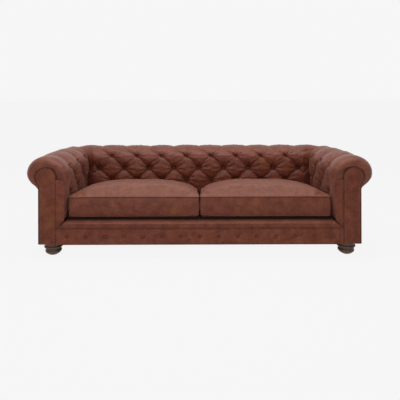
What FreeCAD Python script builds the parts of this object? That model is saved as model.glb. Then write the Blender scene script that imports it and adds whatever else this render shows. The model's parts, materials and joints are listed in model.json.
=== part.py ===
# Chesterfield sofa, millimetres. +Z up, +X to the viewer's right, +Y to the back.
# Origin: on the floor, under the middle of the whole sofa.
# Arms and back share one section. In it, "reach" is the distance outwards from the
# face of the pad, and height is measured from the floor.
import FreeCAD, Part
import math
import os
import re
import Sketcher

Vector = FreeCAD.Vector
doc = FreeCAD.newDocument("ChesterfieldSofa")

SIZES = {
    # seat well and section of arms and back
    "seat_width": 1936, "seat_depth": 680, "outside_reach": 202, "stuffing_depth": 95,
    "roll_half_width": 141, "roll_half_height": 107, "roll_centre_height": 600,
    "roll_tuck_height": 485, "face_lean": 18, "cover_thickness": 2, "fit_gap": 0.3,
    # tufting
    "tuft_pitch": 222, "tuft_depth": 38, "pleat_depth": 20, "fold_depth": 15,
    "back_columns": 9, "back_lower_row": 410, "back_middle_row": 510, "back_upper_row": 630,
    "back_fold_turn": 57, "arm_columns": 3, "arm_first_column": 160, "arm_middle_row": 425,
    "arm_upper_row": 535, "arm_fold_turn": 31, "arm_roll_fullness": 28,
    "button_radius": 11, "button_rise": 7, "button_stalk": 9, "stalk_radius": 2,
    # feet
    "foot_height": 96, "foot_foot_radius": 32, "foot_bun_radius": 59, "foot_neck_radius": 51,
    "foot_ring_radius": 67, "foot_top_radius": 60, "foot_setback": 80, "foot_reach": 120,
    "glide_radius": 14, "glide_height": 3, "bolt_radius": 5, "bolt_depth": 40,
    # base frame
    "dust_cover_thickness": 1, "dust_cover_inset": 8, "rail_height": 100, "rail_thickness": 32, "post_width": 45,
    "post_reach": 120, "front_board_thickness": 25, "top_rail_height": 42, "centre_rail_height": 62,
    "block_height": 52, "block_width": 92, "block_inner_reach": 40, "tack_rail_height": 50,
    "tack_rail_rise": 10, "upright_spacing": 600, "strap_width": 50, "strap_thickness": 1.2,
    "screw_radius": 2.5, "screw_length": 66, "screw_head_radius": 5, "screw_spacing": 48,
    # seat springs and deck
    "spring_count": 10, "spring_wire_radius": 1.9, "spring_run": 50, "spring_pitch": 60,
    "clip_width": 24, "clip_height": 6, "tie_wire_radius": 1.2, "tie_wire_count": 3,
    "burlap_thickness": 1.2, "deck_cover_thickness": 1.7, "deck_rise": 7,
    # front show panels
    "panel_thickness": 6, "border_height": 113, "lip_height": 64, "lip_depth": 70,
    "facing_inner_reach": 79, "facing_head_radius": 74, "facing_head_height": 580,
    "front_panel_height": 565, "front_panel_shoulder": 20, "roll_front_inset": 56,
    "roll_front_round": 42, "outside_panel_thickness": 4,
    "border_button_count": 15, "border_button_pitch": 138, "border_button_radius": 8,
    "border_button_rise": 4, "nail_radius": 3.2, "nail_rise": 1.8, "nail_pitch": 18.5,
    "nail_edge": 12,
    # loose cushions
    "cushion_height": 150, "cushion_crown": 58, "cushion_setback": 35, "cushion_gap": 6,
    "cushion_side_gap": 3, "cushion_back_gap": 12, "cushion_draw": 9, "cushion_bulge": 7,
    "cushion_skin": 3, "cushion_corner_drop": 12, "zip_length": 800, "zip_width": 14, "zip_thickness": 2,
    "slider_length": 14, "slider_width": 9, "slider_thickness": 3,
}

sheet = doc.addObject("Spreadsheet::Sheet", "Sizes")
for number, (alias, amount) in enumerate(SIZES.items(), start=1):
    sheet.set(f"A{number}", alias.replace("_", " "))
    sheet.set(f"B{number}", str(amount))
    sheet.setAlias(f"B{number}", alias)
doc.recompute()

WORD = re.compile(r"\b(" + "|".join(SIZES) + r")\b")


def linked(expression):
    """Turn plain size names into references to the sheet."""
    return WORD.sub(r"Sizes.\1", expression)


def size(name):
    return float(sheet.get(name))


def bind(thing, **places):
    """Bind each property to an expression of the sheet."""
    for prop, expression in places.items():
        thing.setExpression(prop, linked(expression))


# Places that several pieces share, as expressions of the sheet
HALF = "(seat_width / 2)"
FRONT = "(-(seat_depth + 2 * roll_half_width - border_button_rise) / 2)"
BACK = f"({FRONT} + seat_depth)"
PANEL_BACK = f"({FRONT} + panel_thickness + fit_gap)"
BOARD_BACK = f"({PANEL_BACK} + front_board_thickness + fit_gap)"
FRAME_BOTTOM = "(foot_height + dust_cover_thickness + 2 * fit_gap)"
RAIL_TOP = f"({FRAME_BOTTOM} + rail_height)"
BORDER_TOP = "(foot_height + border_height)"
DECK_TOP = "(foot_height + border_height + lip_height + deck_rise)"
PANEL_INNER = "(outside_reach - outside_panel_thickness)"
RAIL_INNER = f"({PANEL_INNER} - fit_gap - rail_thickness)"
TOP_RAIL_TOP = "(roll_centre_height + 3 - fit_gap)"
TOP_RAIL_BOTTOM = f"({TOP_RAIL_TOP} - top_rail_height)"
RAIL_REACH = "(stuffing_depth + 2 * fit_gap + strap_thickness)"
POST_BOTTOM = f"({FRAME_BOTTOM} + block_height + fit_gap)"

# The same places as numbers, read back through one scratch point
probe = doc.addObject("Part::Vertex", "PlaceProbe")


def number_of(expression):
    probe.setExpression("X", linked(expression))
    probe.recompute()
    return float(probe.X)


half = number_of(HALF)
front = number_of(FRONT)
back = number_of(BACK)
deck_top = number_of(DECK_TOP)
gap = size("fit_gap")

sub_parts = []


def keep(thing, label):
    """Give a finished sub-part its label and list it for writing."""
    thing.Label = label
    sub_parts.append(thing)
    return thing


def board(label, low, lengths):
    """One rectangular piece, from its low corner and its three lengths."""
    box = doc.addObject("Part::Box", label)
    bind(box, Length=lengths[0], Width=lengths[1], Height=lengths[2])
    for axis, place in zip("xyz", low):
        box.setExpression(f"Placement.Base.{axis}", linked(place))
    return keep(box, label)


def mirrored(source, label):
    """The left piece of a pair, mirrored from the right one."""
    copy = doc.addObject("Part::Mirroring", label)
    copy.Source = source
    copy.Normal = Vector(1, 0, 0)
    return keep(copy, label)


def feature(label, shape):
    """A sub-part whose shape is built with Part's functions."""
    piece = doc.addObject("Part::Feature", label)
    piece.Shape = shape
    piece.Placement = FreeCAD.Placement()
    return keep(piece, label)


def shell_solid(faces):
    """One closed solid from flat faces that meet edge to edge."""
    shell = Part.makeShell(faces)
    shell.sewShape()
    solid = Part.makeSolid(shell)
    if solid.Volume < 0:
        solid.reverse()
    return solid


def polygon_face(points):
    return Part.Face(Part.makePolygon(list(points) + [points[0]]))


# Rolled section of arms and back

class TuftRun:
    """One tufted run: an arm or the back, over the shared rolled section.

    Step counts half pitches along the run and level counts button rows up the face:
    a button sits where step and level add up to an even number.
    """

    LOWEST = -2
    FIRST_BUTTONS = -1
    FOLD = 2
    TUCK = 7
    DIVISIONS = 2
    ROLL_END = 220

    def __init__(self, lower_row, middle_row, upper_row, fold_turn, fold_bottom):
        self.rows = (lower_row, middle_row, upper_row)
        self.fold_turn = fold_turn
        self.fold_bottom = fold_bottom

    def lean(self, height):
        """Reach of the pad's face below the roll."""
        share = (size("roll_centre_height") - height) / (size("roll_centre_height") - deck_top)
        return size("face_lean") * max(share, 0) ** 1.5

    def roll_point(self, turn):
        """Point of the roll, turned from its inner side over the top."""
        angle = math.radians(turn)
        reach = size("roll_half_width") * (1 - math.cos(angle))
        return reach, size("roll_centre_height") + size("roll_half_height") * math.sin(angle)

    def turn_at(self, height):
        rise = (height - size("roll_centre_height")) / size("roll_half_height")
        return math.degrees(math.asin(min(max(rise, -1), 1)))

    def base(self, level):
        """Reach and height of the smooth section at a level."""
        lower, middle, upper = self.rows
        heights = (deck_top + 2 * gap, lower, middle, upper)
        if level <= 1:
            whole = min(int(math.floor(level)) + 2, 2)
            part = level + 2 - whole
            height = heights[whole] + part * (heights[whole + 1] - heights[whole])
            if height <= size("roll_centre_height"):
                return self.lean(height), height
            return self.roll_point(self.turn_at(height))
        if level <= self.FOLD:
            start = self.turn_at(upper) if upper > size("roll_centre_height") else None
            if start is not None:
                return self.roll_point(start + (level - 1) * (self.fold_turn - start))
            fold_reach, fold_height = self.roll_point(self.fold_turn)
            height = upper + (level - 1) * (fold_height - upper)
            if height <= size("roll_centre_height"):
                return self.lean(height), height
            return self.roll_point(self.turn_at(height))
        last = self.TUCK - 1
        if level <= last:
            share = (level - self.FOLD) / (last - self.FOLD)
            return self.roll_point(self.fold_turn + share * (self.ROLL_END - self.fold_turn))
        share = level - last
        reach, height = self.roll_point(self.ROLL_END)
        tuck_reach = size("outside_reach") + size("cover_thickness") + 1
        return (reach + share * (tuck_reach - reach),
                height + share * (size("roll_tuck_height") - height))

    def outward(self, level):
        """Direction square to the section, away from the stuffing."""
        if level <= self.LOWEST:
            return -1.0, 0.0
        small = 0.02
        reach_a, height_a = self.base(max(level - small, self.LOWEST))
        reach_b, height_b = self.base(min(level + small, self.TUCK))
        along = math.hypot(reach_b - reach_a, height_b - height_a)
        return -(height_b - height_a) / along, (reach_b - reach_a) / along

    def relief(self, step, level):
        """Depth of the tufted surface below the tops of its puffs."""
        if level >= self.TUCK:
            return 0.0
        held = min(max(level, self.FIRST_BUTTONS), self.FOLD)
        step = self.crowded(step, level)
        full = math.sqrt(abs(math.sin(math.pi * (step + held) / 2) * math.sin(math.pi * (step - held) / 2)))
        if level > self.FOLD:
            valley = size("fold_depth") * (self.TUCK - level) / (self.TUCK - self.FOLD)
        else:
            near_level = round(held)
            near_step = 2 * round((step - near_level) / 2) + near_level
            away = math.hypot(step - near_step, level - near_level)
            bottom = size("tuft_depth") if near_level < self.FOLD else self.fold_bottom
            valley = size("pleat_depth") + (bottom - size("pleat_depth")) * math.exp(-(away / 0.35) ** 2)
        return valley * (1 - full)

    def crowded(self, step, level):
        """Step as it counts in the last puff, which is narrower beside a mitre."""
        past = abs(step) - self.last_step
        if past <= 0:
            return step
        reach = self.base(level)[0]
        share = min((self.last_width + reach) / size("tuft_pitch"), 1)
        return math.copysign(self.last_step + min(past, 2 - past) * share, step)

    def levels(self):
        count = int(round((self.TUCK - self.LOWEST) * self.DIVISIONS))
        return [self.LOWEST + row / self.DIVISIONS for row in range(count + 1)]

    def section_point(self, level, depth):
        reach, height = self.base(level)
        out_reach, out_height = self.outward(level)
        return reach - depth * out_reach, height - depth * out_height

    def surface(self, depth):
        """Rows of points of the tufted surface, sunk by a depth."""
        return [[self.place(column, level, depth) for level in self.levels()] for column in self.columns()]

    def core_line(self, column):
        """Points behind the stuffing, from the tuck round to the seat."""
        behind_panel = size("outside_reach") + size("fit_gap") + 1
        top = number_of(TOP_RAIL_TOP) + gap
        depth = size("stuffing_depth")
        corners = ((behind_panel, top), (depth, top), (depth, deck_top + 2 * gap))
        return [self.at(column, reach, height) for reach, height in corners]

    def end_line(self, column, outline):
        """Points behind the stuffing, brought level with its own end."""
        line = self.core_line(column)
        if self.is_square(column):
            return [Vector(spot.x, outline[0].y, spot.z) for spot in line]
        return line

    def is_square(self, column):
        """Whether the run ends square to its length here, not in a mitre."""
        return isinstance(column, tuple)

    def cover(self):
        """The leather skin, one thickness deep."""
        outer = self.surface(0)
        inner = self.surface(size("cover_thickness"))
        faces = grid_faces(outer) + grid_faces([list(reversed(row)) for row in inner])
        rim = [(0, row) for row in range(len(outer[0]))]
        rim += [(column, len(outer[0]) - 1) for column in range(1, len(outer))]
        rim += [(len(outer) - 1, row) for row in range(len(outer[0]) - 2, -1, -1)]
        rim += [(column, 0) for column in range(len(outer) - 2, -1, -1)]
        for (c1, r1), (c2, r2) in zip(rim, rim[1:]):
            a, b, c, d = outer[c1][r1], outer[c2][r2], inner[c2][r2], inner[c1][r1]
            faces += [polygon_face((a, b, c)), polygon_face((a, c, d))]
        return shell_solid(faces)

    def stuffing(self):
        """The padding under the skin, down to the wood."""
        outer = self.surface(size("cover_thickness") + gap)
        faces = grid_faces(outer)
        first = self.end_line(self.columns()[0], outer[0])
        last = self.end_line(self.columns()[-1], outer[-1])
        faces.append(polygon_face([row[-1] for row in outer] + [last[0], first[0]]))
        for start, end in ((0, 1), (1, 2)):
            faces.append(polygon_face((first[start], last[start], last[end], first[end])))
        faces.append(polygon_face([row[0] for row in outer] + [last[2], first[2]]))
        faces.append(polygon_face(outer[0] + first))
        faces.append(polygon_face(outer[-1] + last))
        return shell_solid(faces)


def grid_faces(rows):
    """Two flat triangles for each cell, split along the pleats that cross it."""
    faces = []
    for i in range(len(rows) - 1):
        for j in range(len(rows[0]) - 1):
            a, b, c, d = rows[i][j], rows[i + 1][j], rows[i + 1][j + 1], rows[i][j + 1]
            if (a - c).Length > 0 and fold_runs_up(a, b, c, d):
                faces += [polygon_face((a, b, c)), polygon_face((a, c, d))]
            else:
                faces += [polygon_face((a, b, d)), polygon_face((b, c, d))]
    return faces


def fold_runs_up(a, b, c, d):
    """Whether the crease joins a to c: the flatter pair of triangles keeps it."""
    def bend(p, q, r, s):
        first = (q - p).cross(r - p)
        second = (r - p).cross(s - p)
        return first.getAngle(second)
    return bend(a, b, c, d) <= bend(b, c, d, a)


class BackRun(TuftRun):
    """The back, from mitre to mitre."""

    def __init__(self):
        super().__init__(size("back_lower_row"), size("back_middle_row"), size("back_upper_row"),
                         size("back_fold_turn"), size("fold_depth"))
        self.last_step = size("back_columns") - 1
        self.last_width = half - self.last_step * size("tuft_pitch") / 2

    def columns(self):
        reach = int(round((self.last_step + 2) * self.DIVISIONS))
        return [column / self.DIVISIONS for column in range(-reach, reach + 1)]

    def at(self, step, reach, height):
        along = abs(step) * size("tuft_pitch") / 2
        if abs(step) > self.last_step:
            share = (abs(step) - self.last_step) / 2
            inner = self.last_step * size("tuft_pitch") / 2
            along = inner + share * (half + reach - inner)
        return Vector(math.copysign(along, step), back + reach, height)

    def place(self, step, level, depth):
        reach, height = self.section_point(level, depth + self.relief(step, level))
        return self.at(step, reach, height)

    def buttons(self):
        spots = []
        for level in (self.FIRST_BUTTONS, 0, 1):
            for step in range(-int(self.last_step), int(self.last_step) + 1):
                if (step + level) % 2 == 0:
                    spots.append((step, level))
        return spots


class ArmRun(TuftRun):
    """The right arm, from its rounded front end to the mitre."""

    ROUND_TURNS = (90, 60, 30)
    FIRST_BUTTONS = 0
    FULLEST_LEVEL, SPREAD_BELOW, SPREAD_ABOVE = 3.9, 1.4, 1.9
    FULL_COLUMNS = 1.5

    def __init__(self):
        lower_row = (deck_top + size("arm_middle_row")) / 2
        super().__init__(lower_row, size("arm_middle_row"), size("arm_upper_row"),
                         size("arm_fold_turn"), size("tuft_depth"))
        self.last_step = 2 * (size("arm_columns") - 1)
        last_column = size("arm_first_column") + self.last_step * size("tuft_pitch") / 2
        self.last_width = size("seat_depth") - last_column
        self.front_step = -1

    def columns(self):
        count = int(round((self.last_step + 2 - self.front_step) * self.DIVISIONS))
        plain = [self.front_step + column / self.DIVISIONS for column in range(count + 1)]
        return [("round", turn) for turn in self.ROUND_TURNS] + plain

    def inset(self, level):
        """How far the front end is drawn in, full on the roll and slight below it."""
        slight = 8.0
        if level <= 1:
            return slight
        rise = min(level - 1, 1)
        fall = min(max((self.TUCK - level) / 2, 0), 1)
        return (slight + rise * (size("roll_front_inset") - slight)) * fall

    def at(self, column, reach, height):
        start = size("panel_thickness") + 2 * gap
        if isinstance(column, tuple):
            along = start + size("roll_front_round") * (1 - math.sin(math.radians(column[1])))
        else:
            along = size("arm_first_column") + column * size("tuft_pitch") / 2
            if column > self.last_step:
                inner = size("arm_first_column") + self.last_step * size("tuft_pitch") / 2
                share = (column - self.last_step) / 2
                along = inner + share * (size("seat_depth") + reach - inner)
        return Vector(half + reach, front + along, height)

    def fullness(self, column, level):
        """How far the arm's roll swells beyond the back's, most at its upper outer side."""
        if level >= self.TUCK:
            return 0.0
        away = level - self.FULLEST_LEVEL
        spread = self.SPREAD_ABOVE if away > 0 else self.SPREAD_BELOW
        swell = size("arm_roll_fullness") * math.exp(-(away / spread) ** 2)
        swell *= min((self.TUCK - level) / 0.8, 1)
        if isinstance(column, tuple):
            return swell * math.cos(math.radians(column[1]))
        past = min(max((column - self.FULL_COLUMNS) / (self.last_step + 2 - self.FULL_COLUMNS), 0), 1)
        return swell * (1 - past * past * (3 - 2 * past))

    def place(self, column, level, depth):
        if isinstance(column, tuple):
            turn = math.radians(column[1])
            sunk = self.inset(level) * (1 - math.cos(turn)) - self.fullness(column, level)
            reach, height = self.section_point(level, depth + sunk)
            point = self.at(column, reach, height)
            return point + Vector(0, depth * math.sin(turn), 0)
        sunk = self.relief(column, level) - self.fullness(column, level)
        reach, height = self.section_point(level, depth + sunk)
        return self.at(column, reach, height)

    def relief(self, step, level):
        if step <= self.front_step:
            return 0.0
        return super().relief(step, level)

    def buttons(self):
        spots = []
        for level in (self.FIRST_BUTTONS, 1, self.FOLD):
            for step in range(0, int(self.last_step) + 1):
                if (step + level) % 2 == 0:
                    spots.append((step, level))
        return spots


STALK_TIP = 0.4


def tuft_buttons(run):
    """Covered buttons, each on its tapered stalk at the bottom of a tuft."""
    shapes = []
    for step, level in run.buttons():
        seat = run.place(step, level, 0)
        lifted = run.place(step, level, -1)
        out = (lifted - seat).normalize()
        foot = seat + out * 2 * gap
        radius, rise = size("button_radius"), size("button_rise")
        stalk = Part.makeCone(STALK_TIP, size("stalk_radius"), size("button_stalk"), foot, out)
        ball_radius = (radius ** 2 + rise ** 2) / (2 * rise)
        centre = foot + out * (size("button_stalk") + rise - ball_radius)
        cap_start = math.degrees(math.asin((ball_radius - rise) / ball_radius))
        cap = Part.makeSphere(ball_radius, centre, out, cap_start, 90, 360)
        shapes.append(stalk.fuse(cap).removeSplitter())
    return Part.makeCompound(shapes)


# Feet, glides and bolts

def turned_foot(label, across, along):
    """Turned bun foot, one revolved sketch with a bore for its bolt."""
    body = doc.addObject("PartDesign::Body", label)
    sketch = body.newObject("Sketcher::SketchObject", label + "_outline")
    plane = [item for item in body.Origin.OriginFeatures if item.Role == "XZ_Plane"][0]
    sketch.AttachmentSupport = [(plane, "")]
    sketch.MapMode = "FlatFace"
    bore = "(bolt_radius + fit_gap)"
    corners = (
        ("0", "glide_height"), ("foot_foot_radius", "glide_height"),
        ("foot_neck_radius", "foot_height * 0.44"), ("foot_neck_radius - 1", "foot_height * 0.49"),
        ("foot_ring_radius - 9", "foot_height * 0.54"), ("foot_ring_radius - 9", "foot_height * 0.74"),
        ("foot_top_radius", "foot_height"), (bore, "foot_height"),
        (bore, "foot_height - bolt_depth"), ("0", "foot_height - bolt_depth"))
    bulges = {1: ("foot_bun_radius", "foot_height * 0.25"), 4: ("foot_ring_radius", "foot_height * 0.64")}
    spots = [Vector(number_of(x), number_of(y), 0) for x, y in corners]
    for index, spot in enumerate(spots):
        following = spots[(index + 1) % len(spots)]
        if index in bulges:
            middle = Vector(*[number_of(text) for text in bulges[index]], 0)
            arc = Part.Arc(spot, middle, following)
            sketch.addGeometry(arc, False)
        else:
            sketch.addGeometry(Part.LineSegment(spot, following), False)
    for index, (x, y) in enumerate(corners):
        edge_end = start_vertex(sketch, index, spots[index])
        previous = (index - 1) % len(corners)
        previous_end = start_vertex(sketch, previous, spots[index])
        sketch.addConstraint(Sketcher.Constraint("Coincident", previous, previous_end, index, edge_end))
        for kind, text in (("DistanceX", x), ("DistanceY", y)):
            amount = number_of(text)
            row = sketch.addConstraint(Sketcher.Constraint(kind, -1, 1, index, edge_end, amount))
            sketch.setExpression(f"Constraints[{row}]", linked(text))
    turned = body.newObject("PartDesign::Revolution", label + "_turned")
    turned.Profile = sketch
    turned.ReferenceAxis = (sketch, ["V_Axis"])
    turned.Angle = 360
    body.Tip = turned
    body.setExpression("Placement.Base.x", linked(across))
    body.setExpression("Placement.Base.y", linked(along))
    return keep(body, label)


def start_vertex(sketch, index, spot):
    """Which end of a sketch edge lies at a point: 1 is its start, 2 its end."""
    edge = sketch.Geometry[index]
    return 1 if (edge.StartPoint - spot).Length < (edge.EndPoint - spot).Length else 2


FOOT_X = f"({HALF} + foot_reach)"
FOOT_FRONT = f"({FRONT} + foot_setback)"
FOOT_BACK = f"({BACK} + outside_reach - foot_setback)"
FOOT_SPOTS = (("front", "left", -1, FOOT_FRONT), ("front", "right", 1, FOOT_FRONT),
              ("back", "left", -1, FOOT_BACK), ("back", "right", 1, FOOT_BACK))
for end, side, sign, along in FOOT_SPOTS:
    turned_foot(f"foot_{end}_{side}", f"{sign} * {FOOT_X}", along)

foot_centres = [Vector(sign * number_of(FOOT_X), number_of(along), 0) for end, side, sign, along in FOOT_SPOTS]
frame_bottom = number_of(FRAME_BOTTOM)


def foot_bolt(centre):
    """Hanger bolt from the foot up to the top of its block."""
    bottom = size("foot_height") - size("bolt_depth") + gap
    length = frame_bottom + size("block_height") - bottom
    return Part.makeCylinder(size("bolt_radius"), length, centre + Vector(0, 0, bottom))


feature("foot_bolts", Part.makeCompound([foot_bolt(centre) for centre in foot_centres]))
feature("foot_glides", Part.makeCompound([
    Part.makeCylinder(size("glide_radius"), size("glide_height"), centre) for centre in foot_centres]))

# Base frame


def screw_spots():
    """Outer ends of the screws that hold the blocks to the side rails."""
    outer = half + number_of(PANEL_INNER) - gap
    height = frame_bottom + size("block_height") / 2
    spots = []
    for centre in foot_centres:
        for offset in (-size("screw_spacing") / 2, size("screw_spacing") / 2):
            sign = math.copysign(1, centre.x)
            spots.append((Vector(sign * outer, centre.y + offset, height), Vector(-sign, 0, 0)))
    return spots


def screw(spot, inward, clearance):
    radius = size("screw_radius") + clearance
    head = size("screw_head_radius") + clearance
    shank = Part.makeCylinder(radius, size("screw_length") + clearance, spot, inward)
    cone = Part.makeCone(head, radius, head - radius, spot, inward)
    return shank.fuse(cone)


feature("frame_screws", Part.makeCompound([screw(spot, inward, 0) for spot, inward in screw_spots()]))
screw_holes = doc.addObject("Part::Feature", "screw_holes")
screw_holes.Shape = Part.makeCompound([screw(spot, inward, gap) for spot, inward in screw_spots()])

BLOCK_FRONT = f"({PANEL_BACK} + rail_thickness + fit_gap)"
BLOCK_BACK = f"({BACK} + {RAIL_INNER} - fit_gap - block_width)"


def corner_block(sign, along, centre):
    """One block over a foot, bored for the foot's bolt and the frame screws."""
    low_reach = half + size("block_inner_reach")
    high_reach = half + number_of(RAIL_INNER) - gap
    low_x = low_reach if sign > 0 else -high_reach
    block = Part.makeBox(high_reach - low_reach, size("block_width"), size("block_height"),
                         Vector(low_x, along, frame_bottom))
    bore = Part.makeCylinder(size("bolt_radius") + gap, size("block_height") + 2,
                             Vector(centre.x, centre.y, frame_bottom - 1))
    return block.cut(bore).cut(screw_holes.Shape)


block_shapes = []
for (end, side, sign, along), centre in zip(FOOT_SPOTS, foot_centres):
    place = number_of(BLOCK_FRONT if end == "front" else BLOCK_BACK)
    block_shapes.append(corner_block(sign, place, centre))
feature("corner_blocks", Part.makeCompound(block_shapes))

board("front_rail", (f"-({HALF} + {RAIL_REACH} - fit_gap)", PANEL_BACK, FRAME_BOTTOM),
      (f"2 * ({HALF} + {RAIL_REACH} - fit_gap)", "rail_thickness", "rail_height"))
board("back_rail", (f"-({HALF} + {PANEL_INNER} - fit_gap)", f"{BACK} + {RAIL_INNER}", FRAME_BOTTOM),
      (f"2 * ({HALF} + {PANEL_INNER} - fit_gap)", "rail_thickness", "rail_height"))

side_blank = doc.addObject("Part::Box", "side_rail_blank")
bind(side_blank, Length="rail_thickness", Width=f"{BACK} + {RAIL_INNER} - fit_gap - {BOARD_BACK}",
     Height="rail_height")
for axis, place in zip("xyz", (f"{HALF} + {RAIL_INNER}", BOARD_BACK, FRAME_BOTTOM)):
    side_blank.setExpression(f"Placement.Base.{axis}", linked(place))
side_rail = doc.addObject("Part::Cut", "side_rail_right")
side_rail.Base = side_blank
side_rail.Tool = screw_holes
keep(side_rail, "side_rail_right")
mirrored(side_rail, "side_rail_left")

board("centre_rail", ("-rail_thickness / 2", f"{PANEL_BACK} + rail_thickness + fit_gap", FRAME_BOTTOM),
      ("rail_thickness", f"{BACK} + {RAIL_INNER} - fit_gap - {PANEL_BACK} - rail_thickness - fit_gap",
       "centre_rail_height"))
front_board = board("arm_front_board_right", (f"{HALF} + {RAIL_REACH}", PANEL_BACK, FRAME_BOTTOM),
                    (f"{PANEL_INNER} - fit_gap - {RAIL_REACH}", "front_board_thickness",
                     f"{TOP_RAIL_TOP} - {FRAME_BOTTOM}"))
mirrored(front_board, "arm_front_board_left")
arm_top = board("arm_top_rail_right", (f"{HALF} + {RAIL_REACH}", BOARD_BACK, TOP_RAIL_BOTTOM),
                (f"outside_reach - {RAIL_REACH}", f"{BACK} + {RAIL_REACH} - fit_gap - {BOARD_BACK}",
                 "top_rail_height"))
mirrored(arm_top, "arm_top_rail_left")
board("back_top_rail", (f"-({HALF} + outside_reach)", f"{BACK} + {RAIL_REACH}", TOP_RAIL_BOTTOM),
      (f"2 * ({HALF} + outside_reach)", f"outside_reach - {RAIL_REACH}", "top_rail_height"))

post_height = number_of(TOP_RAIL_BOTTOM) - gap - number_of(POST_BOTTOM)


def post(across, along, bottom, width, height):
    return Part.makeBox(width, size("post_width") - gap, height, Vector(across, along, bottom))


post_bottom = number_of(POST_BOTTOM)
post_width = size("post_width") - gap
corner_posts = []
for sign in (-1, 1):
    low_x = half + size("post_reach") if sign > 0 else -half - size("post_reach") - post_width
    for along in (number_of(BOARD_BACK), back + size("post_reach")):
        corner_posts.append(post(low_x, along, post_bottom, post_width, post_height))
feature("corner_posts", Part.makeCompound(corner_posts))
upright_height = number_of(TOP_RAIL_BOTTOM) - gap - frame_bottom
back_posts = []
for place in (-1, 0, 1):
    low_x = place * size("upright_spacing") - post_width / 2
    if place == 0:
        bottom = frame_bottom + size("centre_rail_height") + gap
    else:
        bottom = frame_bottom
    height = upright_height - (bottom - frame_bottom)
    back_posts.append(post(low_x, back + size("post_reach"), bottom, post_width, height))
feature("back_uprights", Part.makeCompound(back_posts))

TACK_BOTTOM = f"({DECK_TOP} + tack_rail_rise - tack_rail_height)"
TACK_DEPTH = f"(post_reach - fit_gap - {RAIL_REACH})"
board("back_tack_rail", (f"-({HALF} + {RAIL_REACH} - fit_gap)", f"{BACK} + {RAIL_REACH}", TACK_BOTTOM),
      (f"2 * ({HALF} + {RAIL_REACH} - fit_gap)", TACK_DEPTH, "tack_rail_height"))
arm_tacks = []
tack_length = back + size("post_reach") - gap - number_of(BOARD_BACK)
for sign in (-1, 1):
    low_reach = half + number_of(RAIL_REACH)
    low_x = low_reach if sign > 0 else -low_reach - number_of(TACK_DEPTH)
    arm_tacks.append(Part.makeBox(number_of(TACK_DEPTH), tack_length, size("tack_rail_height"),
                                  Vector(low_x, number_of(BOARD_BACK), number_of(TACK_BOTTOM))))
feature("arm_tack_rails", Part.makeCompound(arm_tacks))

# Webbing straps behind the pads
strap_bottom = number_of(TACK_BOTTOM) + 4
strap_height = number_of(TOP_RAIL_TOP) - strap_bottom
strap_reach = size("stuffing_depth") + gap


def strap_places(low, high, spacing):
    count = int((high - low - size("strap_width")) // spacing) + 1
    first = (low + high) / 2 - (count - 1) * spacing / 2
    return [first + row * spacing - size("strap_width") / 2 for row in range(count)]


STRAP_SPACING = 2.6
spacing = STRAP_SPACING * size("strap_width")
feature("back_webbing", Part.makeCompound([
    Part.makeBox(size("strap_width"), size("strap_thickness"), strap_height,
                 Vector(place, back + strap_reach, strap_bottom))
    for place in strap_places(-half, half, spacing)]))
arm_straps = []
for sign in (-1, 1):
    low_x = half + strap_reach if sign > 0 else -half - strap_reach - size("strap_thickness")
    for place in strap_places(number_of(BOARD_BACK), back, spacing):
        arm_straps.append(Part.makeBox(size("strap_thickness"), size("strap_width"), strap_height,
                                       Vector(low_x, place, strap_bottom)))
feature("arm_webbing", Part.makeCompound(arm_straps))

# Seat springs, clips and tie wires
rail_top = number_of(RAIL_TOP)
wire = size("spring_wire_radius")
wire_height = rail_top + gap + wire
spring_front = number_of(PANEL_BACK) + size("rail_thickness") / 2
spring_back = number_of(f"{BACK} + {RAIL_INNER}") + size("rail_thickness") / 2
spring_spacing = 2 * (half - size("spring_run")) / (size("spring_count") - 1)
spring_places = [-half + size("spring_run") + row * spring_spacing for row in range(int(size("spring_count")))]


def square_tube(path, radius):
    """A flat wire path as a closed tube of square section, mitred at its turns."""
    sides = []
    for index, spot in enumerate(path):
        before = path[max(index - 1, 0)]
        after = path[min(index + 1, len(path) - 1)]
        one = (spot - before).normalize() if index > 0 else (after - spot).normalize()
        two = (after - spot).normalize() if index < len(path) - 1 else one
        one_side = Vector(-one.y, one.x, 0)
        both = (one_side + Vector(-two.y, two.x, 0)).normalize()
        width = radius / both.dot(one_side)
        sides.append((spot - both * width, spot + both * width))
    up = Vector(0, 0, radius)
    faces = []
    for (left_a, right_a), (left_b, right_b) in zip(sides, sides[1:]):
        faces.append(polygon_face((left_a + up, right_a + up, right_b + up, left_b + up)))
        faces.append(polygon_face((left_a - up, right_a - up, right_b - up, left_b - up)))
        faces.append(polygon_face((left_a - up, left_a + up, left_b + up, left_b - up)))
        faces.append(polygon_face((right_a - up, right_a + up, right_b + up, right_b - up)))
    for left, right in (sides[0], sides[-1]):
        faces.append(polygon_face((left - up, right - up, right + up, left + up)))
    return shell_solid(faces)


def sinuous_path(across):
    """Runs across the seat joined by turns, from front rail to back rail."""
    runs = int(round((spring_back - spring_front) / size("spring_pitch"))) + 1
    pitch = (spring_back - spring_front) / (runs - 1)
    reach = size("spring_run") / 2
    path = []
    for row in range(runs):
        sign = 1 if row % 2 == 0 else -1
        along = spring_front + row * pitch
        path.append(Vector(across - sign * reach, along, wire_height))
        path.append(Vector(across + sign * reach, along, wire_height))
        if row < runs - 1:
            turn = across + sign * (reach + pitch / 4)
            path.append(Vector(turn, along + pitch * 0.3, wire_height))
            path.append(Vector(turn, along + pitch * 0.7, wire_height))
    return path


feature("seat_springs", Part.makeCompound([square_tube(sinuous_path(place), wire) for place in spring_places]))


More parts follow.
